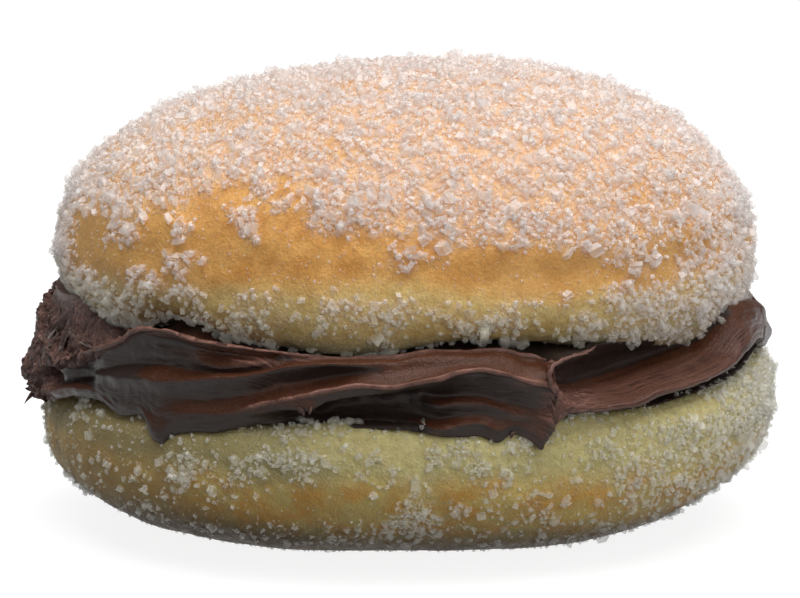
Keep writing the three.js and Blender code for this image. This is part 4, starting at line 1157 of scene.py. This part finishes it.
def dough_material(name, upper_half):
    m = Nodes(name)
    p = m.coords()
    sep = m.node("ShaderNodeSeparateXYZ")
    m.link(p, sep.inputs[0])
    z = sep.outputs["Z"]
    small = m.noise(p, 0.9, 4, 0.6)
    speck = m.noise(p, 3.2, 3, 0.6)
    zone = m.attr("zone")
    zz = m.math("ADD", m.math("SUBTRACT", z, zone), m.math("MULTIPLY_ADD", m.noise(p, 0.12, 3, 0.55), 4.4, -2.2))
    if upper_half:
        blot = m.ramp(m.noise(p, 0.34, 4, 0.65), 0.36, 0.64)
        golden = m.mix(blot, (0.64, 0.285, 0.072), (0.85, 0.445, 0.130))
        band = m.mix(blot, (0.76, 0.345, 0.075), (0.95, 0.50, 0.145))
        pale = m.mix(m.ramp(small, 0.3, 0.7), (0.74, 0.50, 0.165), (0.90, 0.68, 0.28))
        c = m.mix(m.ramp(zz, -1.6, 1.8), pale, band)
        c = m.mix(m.ramp(zz, 2.5, 9.0), c, golden)
        # painted light: the band is lighter and more orange on the left
        c = m.mix(m.math("MULTIPLY", m.math("MULTIPLY", m.ramp(sep.outputs["X"], -14.0, -32.0), 0.65), m.ramp(zz, -1.0, 1.5)), c, (1.0, 0.55, 0.165))
        # painted shade: the band is darker on the right, under the dome
        c = m.mix(m.math("MULTIPLY", m.math("MULTIPLY", m.ramp(sep.outputs["X"], 3.0, 13.0), 0.45), m.math("MULTIPLY", m.ramp(zz, -1.0, 1.5), m.ramp(zz, 7.0, 3.5))), c, (0.60, 0.34, 0.11))
        c = m.mix(m.ramp(z, 28.5, 25.5), c, (0.72, 0.62, 0.36))
    else:
        blot = m.ramp(m.noise(p, 0.30, 4, 0.65), 0.36, 0.64)
        brown = m.mix(blot, (0.98, 0.53, 0.120), (1.0, 0.77, 0.27))
        pale = m.mix(m.ramp(small, 0.3, 0.7), (0.64, 0.55, 0.23), (0.82, 0.72, 0.35))
        underside_brown_and_shade = m.mix(small, (0.050, 0.032, 0.014), (0.11, 0.070, 0.031))
        c = m.mix(m.ramp(zz, -1.8, 2.2), brown, pale)
        c = m.mix(m.math("MULTIPLY", m.ramp(sep.outputs["X"], -14.0, -32.0), m.ramp(m.noise(p, 0.13, 3, 0.5), 0.3, 0.7, 0.45, 0.85)), c, (0.70, 0.44, 0.15))
        # painted shade: the pale part of the lower half is darker on the left
        c = m.mix(m.math("MULTIPLY", m.math("MULTIPLY", m.ramp(sep.outputs["X"], -2.0, -20.0), 0.65), m.ramp(zz, -1.0, 2.0)), c, (0.33, 0.28, 0.13))
        tall = m.node("ShaderNodeMapping")
        tall.inputs["Scale"].default_value = (1.0, 1.0, 0.16)
        m.link(p, tall.inputs["Vector"])
        streak = m.ramp(m.noise(tall.outputs[0], 0.9, 3, 0.6), 0.46, 0.62)
        left = m.ramp(sep.outputs["X"], -35.5, -39.5)
        c = m.mix(m.math("MULTIPLY", m.math("MULTIPLY", streak, left), 0.7), c, (0.20, 0.20, 0.13))
        # Towards the bottom the colour goes to a very dark brown: partly the browner fried underside, partly painted
        # shade under the foot.
        shade_height = m.math("ADD", m.math("ADD", z, m.math("MULTIPLY_ADD", small, 2.0, -1.0)), m.ramp(sep.outputs["X"], 4.0, -22.0, 0.0, -1.8))
        foot = m.ramp(shade_height, 7.2, 2.6)
        c = m.mix(foot, c, underside_brown_and_shade)
    c = m.mix(m.ramp(speck, 0.30, 0.62), m.mix(0.30 if upper_half else 0.16, c, (0.35, 0.16, 0.05)), c)
    # a film of the finest sugar, which is too fine to be crystals of its own
    dust = m.attr("sugar")
    grain = m.voronoi(p, 2.6)
    cell = m.node("ShaderNodeSeparateColor")
    m.link(grain.outputs["Color"], cell.inputs[0])
    film = m.math("ADD", dust, m.math("MULTIPLY_ADD", cell.outputs[0], 0.5, -0.32))
    film = m.math("MULTIPLY", m.ramp(film, 0.0, 0.95), m.ramp(z, 35.0, 47.0, 0.26, 0.48) if upper_half else m.math("MULTIPLY_ADD", foot, -0.22, 0.26))
    tint = m.mix(cell.outputs[1], srgb(238, 205, 186), srgb(250, 226, 210)) if upper_half else m.mix(cell.outputs[1], srgb(214, 204, 174), srgb(232, 226, 204))
    c = m.mix(film, c, tint)
    m.link(c, m.bsdf.inputs["Base Color"])
    rough = m.math("MULTIPLY_ADD", cell.outputs[2], -0.25, 0.62)
    m.link(m.math("ADD", rough, m.math("MULTIPLY", small, 0.1)), m.bsdf.inputs["Roughness"])
    m.bsdf.inputs["IOR"].default_value = 1.42
    m.bsdf.inputs["Specular IOR Level"].default_value = 0.35 if upper_half else 0.15
    m.bsdf.inputs["Subsurface Weight"].default_value = 0.22
    m.bsdf.inputs["Subsurface Radius"].default_value = (1.0, 0.55, 0.25)
    m.bsdf.inputs["Subsurface Scale"].default_value = 0.0016
    h1 = m.math("MULTIPLY", m.math("SUBTRACT", 1.0, grain.outputs["Distance"]), m.ramp(film, 0.0, 0.4))
    b = m.bump(h1, 0.00022, 0.9)
    pores = m.math("ADD", m.math("MULTIPLY", small, 0.6), m.math("MULTIPLY", speck, 0.5))
    m.link(m.bump(pores, 0.00028, 0.8, b), m.bsdf.inputs["Normal"])
    return m.mat


def cream_material():
    m = Nodes("chocolate_cream")
    p = m.coords()
    torn = m.attr("torn")
    v = m.attr("stroke")
    sep = m.node("ShaderNodeSeparateXYZ")
    m.link(p, sep.inputs[0])
    comb = m.node("ShaderNodeCombineXYZ")
    m.link(m.math("MULTIPLY", sep.outputs[0], 0.07), comb.inputs[0])
    m.link(m.math("MULTIPLY", sep.outputs[1], 0.07), comb.inputs[1])
    m.link(m.math("MULTIPLY", v, 1.6), comb.inputs[2])
    lines = m.noise(comb.outputs[0], 2.0, 3, 0.65)
    fine = m.noise(p, 3.5, 3, 0.6)
    mid = m.noise(p, 0.5, 3, 0.5)
    # lit and shaded copies of the cream's colour: the redder lit tone where the painted light attribute 'up' is high,
    # the dark grey-brown shaded tone where it is low
    top = m.mix(mid, (0.074, 0.0250, 0.0110), (0.102, 0.0330, 0.0138))
    base = m.mix(mid, (0.033, 0.0245, 0.0210), (0.051, 0.0330, 0.0270))
    c = m.mix(m.ramp(m.math("ADD", m.attr("up"), m.math("MULTIPLY_ADD", fine, 0.3, -0.15)), -0.15, 0.5), base, top)
    turn = m.node("ShaderNodeMapping")
    turn.inputs["Rotation"].default_value = (0.5, 0.9, 0.0)
    turn.inputs["Scale"].default_value = (3.2, 2.4, 0.42)
    m.link(p, turn.inputs["Vector"])
    fibres_and_sheen = m.ramp(m.noise(turn.outputs[0], 1.0, 4, 0.65, 0.4), 0.50, 0.64)
    c = m.mix(m.math("MULTIPLY", m.attr("leaf"), 0.45), c, (0.150, 0.070, 0.052))
    # painted glints: a light pink speckle on the up-turned crests
    painted_glints = m.math("MULTIPLY", m.ramp(m.noise(p, 5.5, 2, 0.5), 0.52, 0.68), m.ramp(m.attr("up"), 0.05, 0.55))
    c = m.mix(m.math("MULTIPLY", painted_glints, 0.17), c, (0.30, 0.150, 0.115))
    c = m.mix(torn, c, m.mix(m.ramp(fine, 0.36, 0.62), (0.135, 0.068, 0.054), (0.310, 0.170, 0.135)))
    # painted shade in the torn end's grooves
    c = m.mix(m.attr("painted_groove_shade"), c, (0.048, 0.023, 0.019))
    # painted sheen: grey-pink on the torn end's fibres
    c = m.mix(m.math("MULTIPLY", m.math("MULTIPLY", torn, fibres_and_sheen), 0.5), c, (0.38, 0.29, 0.265))
    # painted highlight: pink on the lips and spots, a lighter pink on the torn end
    c = m.mix(m.attr("edge"), c, m.mix(torn, (0.30, 0.145, 0.11), (0.54, 0.30, 0.25)))
    # painted sheen: the drawn-out strands are coloured pale grey
    c = m.mix(m.attr("strand_sheen"), c, (0.50, 0.41, 0.38))
    c = m.mix(m.ramp(lines, 0.3, 0.7, 0.0, 0.3), c, (0.04, 0.015, 0.009))
    thin = m.node("ShaderNodeCombineXYZ")
    m.link(m.math("MULTIPLY", sep.outputs[0], 0.05), thin.inputs[0])
    m.link(m.math("MULTIPLY", sep.outputs[1], 0.05), thin.inputs[1])
    m.link(m.math("MULTIPLY", v, 2.7), thin.inputs[2])
    hair = m.math("ABSOLUTE", m.math("SUBTRACT", m.noise(thin.outputs[0], 1.0, 2, 0.5), 0.5))
    hair = m.ramp(hair, 0.085, 0.030)
    hair = m.math("MULTIPLY", m.math("MULTIPLY", hair, m.attr("leaf")), m.ramp(mid, 0.42, 0.60, 0.30, 0.75))
    c = m.mix(hair, c, (0.035, 0.016, 0.012))
    m.link(c, m.bsdf.inputs["Base Color"])
    r = m.math("MULTIPLY_ADD", lines, 0.12, 0.29)
    r = m.math("ADD", r, m.math("MULTIPLY", torn, 0.06))
    m.link(r, m.bsdf.inputs["Roughness"])
    m.bsdf.inputs["IOR"].default_value = 1.36
    m.bsdf.inputs["Specular IOR Level"].default_value = 0.38
    h = m.math("ADD", m.math("MULTIPLY", lines, 1.0), m.math("MULTIPLY", fine, 0.35))
    h = m.math("SUBTRACT", h, m.math("MULTIPLY", hair, 0.5))
    b = m.bump(h, 0.00010, 0.8)
    peel = m.noise(p, 3.8, 2, 0.5)
    b = m.bump(m.math("MULTIPLY", peel, m.ramp(m.attr("up"), 0.0, 0.5)), 0.00013, 0.8, b)
    rough = m.noise(p, 1.6, 5, 0.7)
    rough = m.math("ADD", rough, m.math("MULTIPLY", fibres_and_sheen, 0.5))
    m.link(m.bump(m.math("MULTIPLY", rough, torn), 0.0006, 0.9, b), m.bsdf.inputs["Normal"])
    return m.mat


def sugar_material(name, a, b, alpha, painted_glow, low, lip_shade=None):
    m = Nodes(name)
    p = m.coords()
    tone = m.attr("tone")
    cloud = m.noise(p, 2.2, 2, 0.5)
    c = m.mix(m.math("MULTIPLY_ADD", tone, 0.7, m.math("MULTIPLY", cloud, 0.3)), a, b)
    sep = m.node("ShaderNodeSeparateXYZ")
    m.link(p, sep.inputs[0])
    # Tints by height: on the dome's sugar the first is partly the pale dough seen through the crystals and partly
    # painted shade, and the second is painted shade under the dome's rim, less of it on the right; on the foot's sugar
    # the tint is painted shade.
    for top_z, foot_z, amount, tint in [low] + ([lip_shade] if lip_shade else []):
        f = m.ramp(sep.outputs["Z"], top_z, foot_z, 0.0, amount)
        if lip_shade:
            f = m.math("MULTIPLY", f, m.ramp(sep.outputs["X"], 14.0, 32.0, 1.0, 0.25))
        c = m.mix(f, c, tint)
    m.link(c, m.bsdf.inputs["Base Color"])
    m.link(m.math("MULTIPLY_ADD", cloud, 0.16, 0.0), m.bsdf.inputs["Roughness"])
    m.bsdf.inputs["IOR"].default_value = 1.8
    m.bsdf.inputs["Specular IOR Level"].default_value = 0.9
    m.bsdf.inputs["Alpha"].default_value = alpha
    # painted glow: a faint emission in the crystals' light colour stands in for light scattered inside them
    m.bsdf.inputs["Emission Color"].default_value = (*b, 1)
    m.bsdf.inputs["Emission Strength"].default_value = painted_glow
    m.link(m.bump(m.noise(p, 3.2, 2, 0.5), 0.0001, 1.0), m.bsdf.inputs["Normal"])
    return m.mat


upper.data.materials.append(dough_material("dough_dome", True))
lower.data.materials.append(dough_material("dough_base", False))
cream.data.materials.append(cream_material())
for ob, name, a, b, alpha, painted_glow, low, lip_shade in (
    (top_big, "sugar_crystal", (0.92, 0.81, 0.75), (1.0, 0.96, 0.95), 0.33, 0.055, (33.0, 28.5, 0.85, (0.66, 0.63, 0.47)), (28.3, 26.0, 0.8, (0.40, 0.36, 0.24))),
    (top_small, "sugar_grain", (0.92, 0.80, 0.69), (1.0, 0.92, 0.84), 0.25, 0.035, (33.0, 28.5, 0.85, (0.66, 0.61, 0.41)), (28.3, 26.0, 0.8, (0.38, 0.33, 0.20))),
    (low_big, "sugar_crystal_foot", (0.88, 0.84, 0.68), (0.97, 0.95, 0.86), 0.31, 0.025, (8.0, 2.5, 0.9, (0.15, 0.12, 0.075)), None),
    (low_small, "sugar_grain_foot", (0.86, 0.78, 0.55), (0.95, 0.90, 0.72), 0.23, 0.010, (8.0, 2.5, 0.9, (0.11, 0.085, 0.05)), None),
):
    ob.data.materials.append(sugar_material(name, a, b, alpha, painted_glow, low, lip_shade))

# ---------------------------------------------------------------- riding on the frame
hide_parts("upper_half")
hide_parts("lower_half")
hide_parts("cream")
for ob, slot in ((upper, "dough_upper"), (lower, "dough_lower"), (cream, "chocolate_cream"), (top_big, "sugar"), (top_small, "sugar"), (low_big, "sugar"), (low_small, "sugar")):
    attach(ob, "root")

# ---------------------------------------------------------------- floor, light and camera
S = bpy.context.scene


def floor_material():
    m = Nodes("floor_paint")
    p = m.coords()
    c = m.mix(m.noise(p, 0.02, 2, 0.5), (0.24, 0.24, 0.24), (0.26, 0.26, 0.26))
    m.link(c, m.bsdf.inputs["Base Color"])
    m.link(m.math("MULTIPLY_ADD", m.noise(p, 0.3, 2, 0.5), 0.1, 0.6), m.bsdf.inputs["Roughness"])
    m.bsdf.inputs["Emission Color"].default_value = (1, 1, 1, 1)
    m.bsdf.inputs["Emission Strength"].default_value = 0.87
    return m.mat


floor = mesh_object("floor", np.array([[-4, -4, 0], [4, -4, 0], [4, 4, 0], [-4, 4, 0]], float), [np.array([[0, 1, 2, 3]])])
floor.data.materials.append(floor_material())
floor.visible_diffuse = False


def area(name, loc, target, size, power, colour=(1, 1, 1), size_y=None):
    d = bpy.data.lights.new(name, "AREA")
    d.shape = "RECTANGLE"
    d.size = size
    d.size_y = size_y or size
    d.energy = power
    d.color = colour
    o = bpy.data.objects.new(name, d)
    o.location = loc
    v = np.array(target, float) - np.array(loc, float)
    from mathutils import Vector

    o.rotation_euler = Vector(v).to_track_quat("-Z", "Y").to_euler()
    S.collection.objects.link(o)
    return o


area("key_top", (0.06, -0.08, 0.60), (0, 0, 0.03), 0.75, 5.1)
fill = area("fill_right", (0.42, -0.70, 0.18), (0, 0, 0.02), 0.7, 2.1)
fill.visible_glossy = False
world = bpy.data.worlds.new("studio")
S.world = world
world.use_nodes = True
wt = world.node_tree
bg = wt.nodes["Background"]
up = wt.nodes.new("ShaderNodeSeparateXYZ")
wt.links.new(wt.nodes.new("ShaderNodeTexCoord").outputs["Generated"], up.inputs[0])
shade = wt.nodes.new("ShaderNodeMapRange")
for key, value in (("From Min", -0.5), ("From Max", 0.35), ("To Min", 0.02), ("To Max", 0.20)):
    shade.inputs[key].default_value = value
wt.links.new(up.outputs["Z"], shade.inputs["Value"])
wt.links.new(shade.outputs["Result"], bg.inputs["Strength"])
bg.inputs[0].default_value = (0.93, 0.97, 1.0, 1)

cam = bpy.data.cameras.new("camera")
cam.sensor_width = 36.0
cam.sensor_fit = "HORIZONTAL"
cam.lens = 36.0 * 600 / (800 * 0.11549)
cam.clip_start = 0.01
cam.clip_end = 20
co = bpy.data.objects.new("camera", cam)
e = math.radians(10.4)
co.location = (0, -0.6 * math.cos(e), 0.0252 + 0.6 * math.sin(e))
co.rotation_euler = (math.pi / 2 - e, 0, 0)
S.collection.objects.link(co)
S.camera = co
S.view_settings.view_transform = "Standard"
S.view_settings.look = "None"
S.view_settings.exposure = 0.0
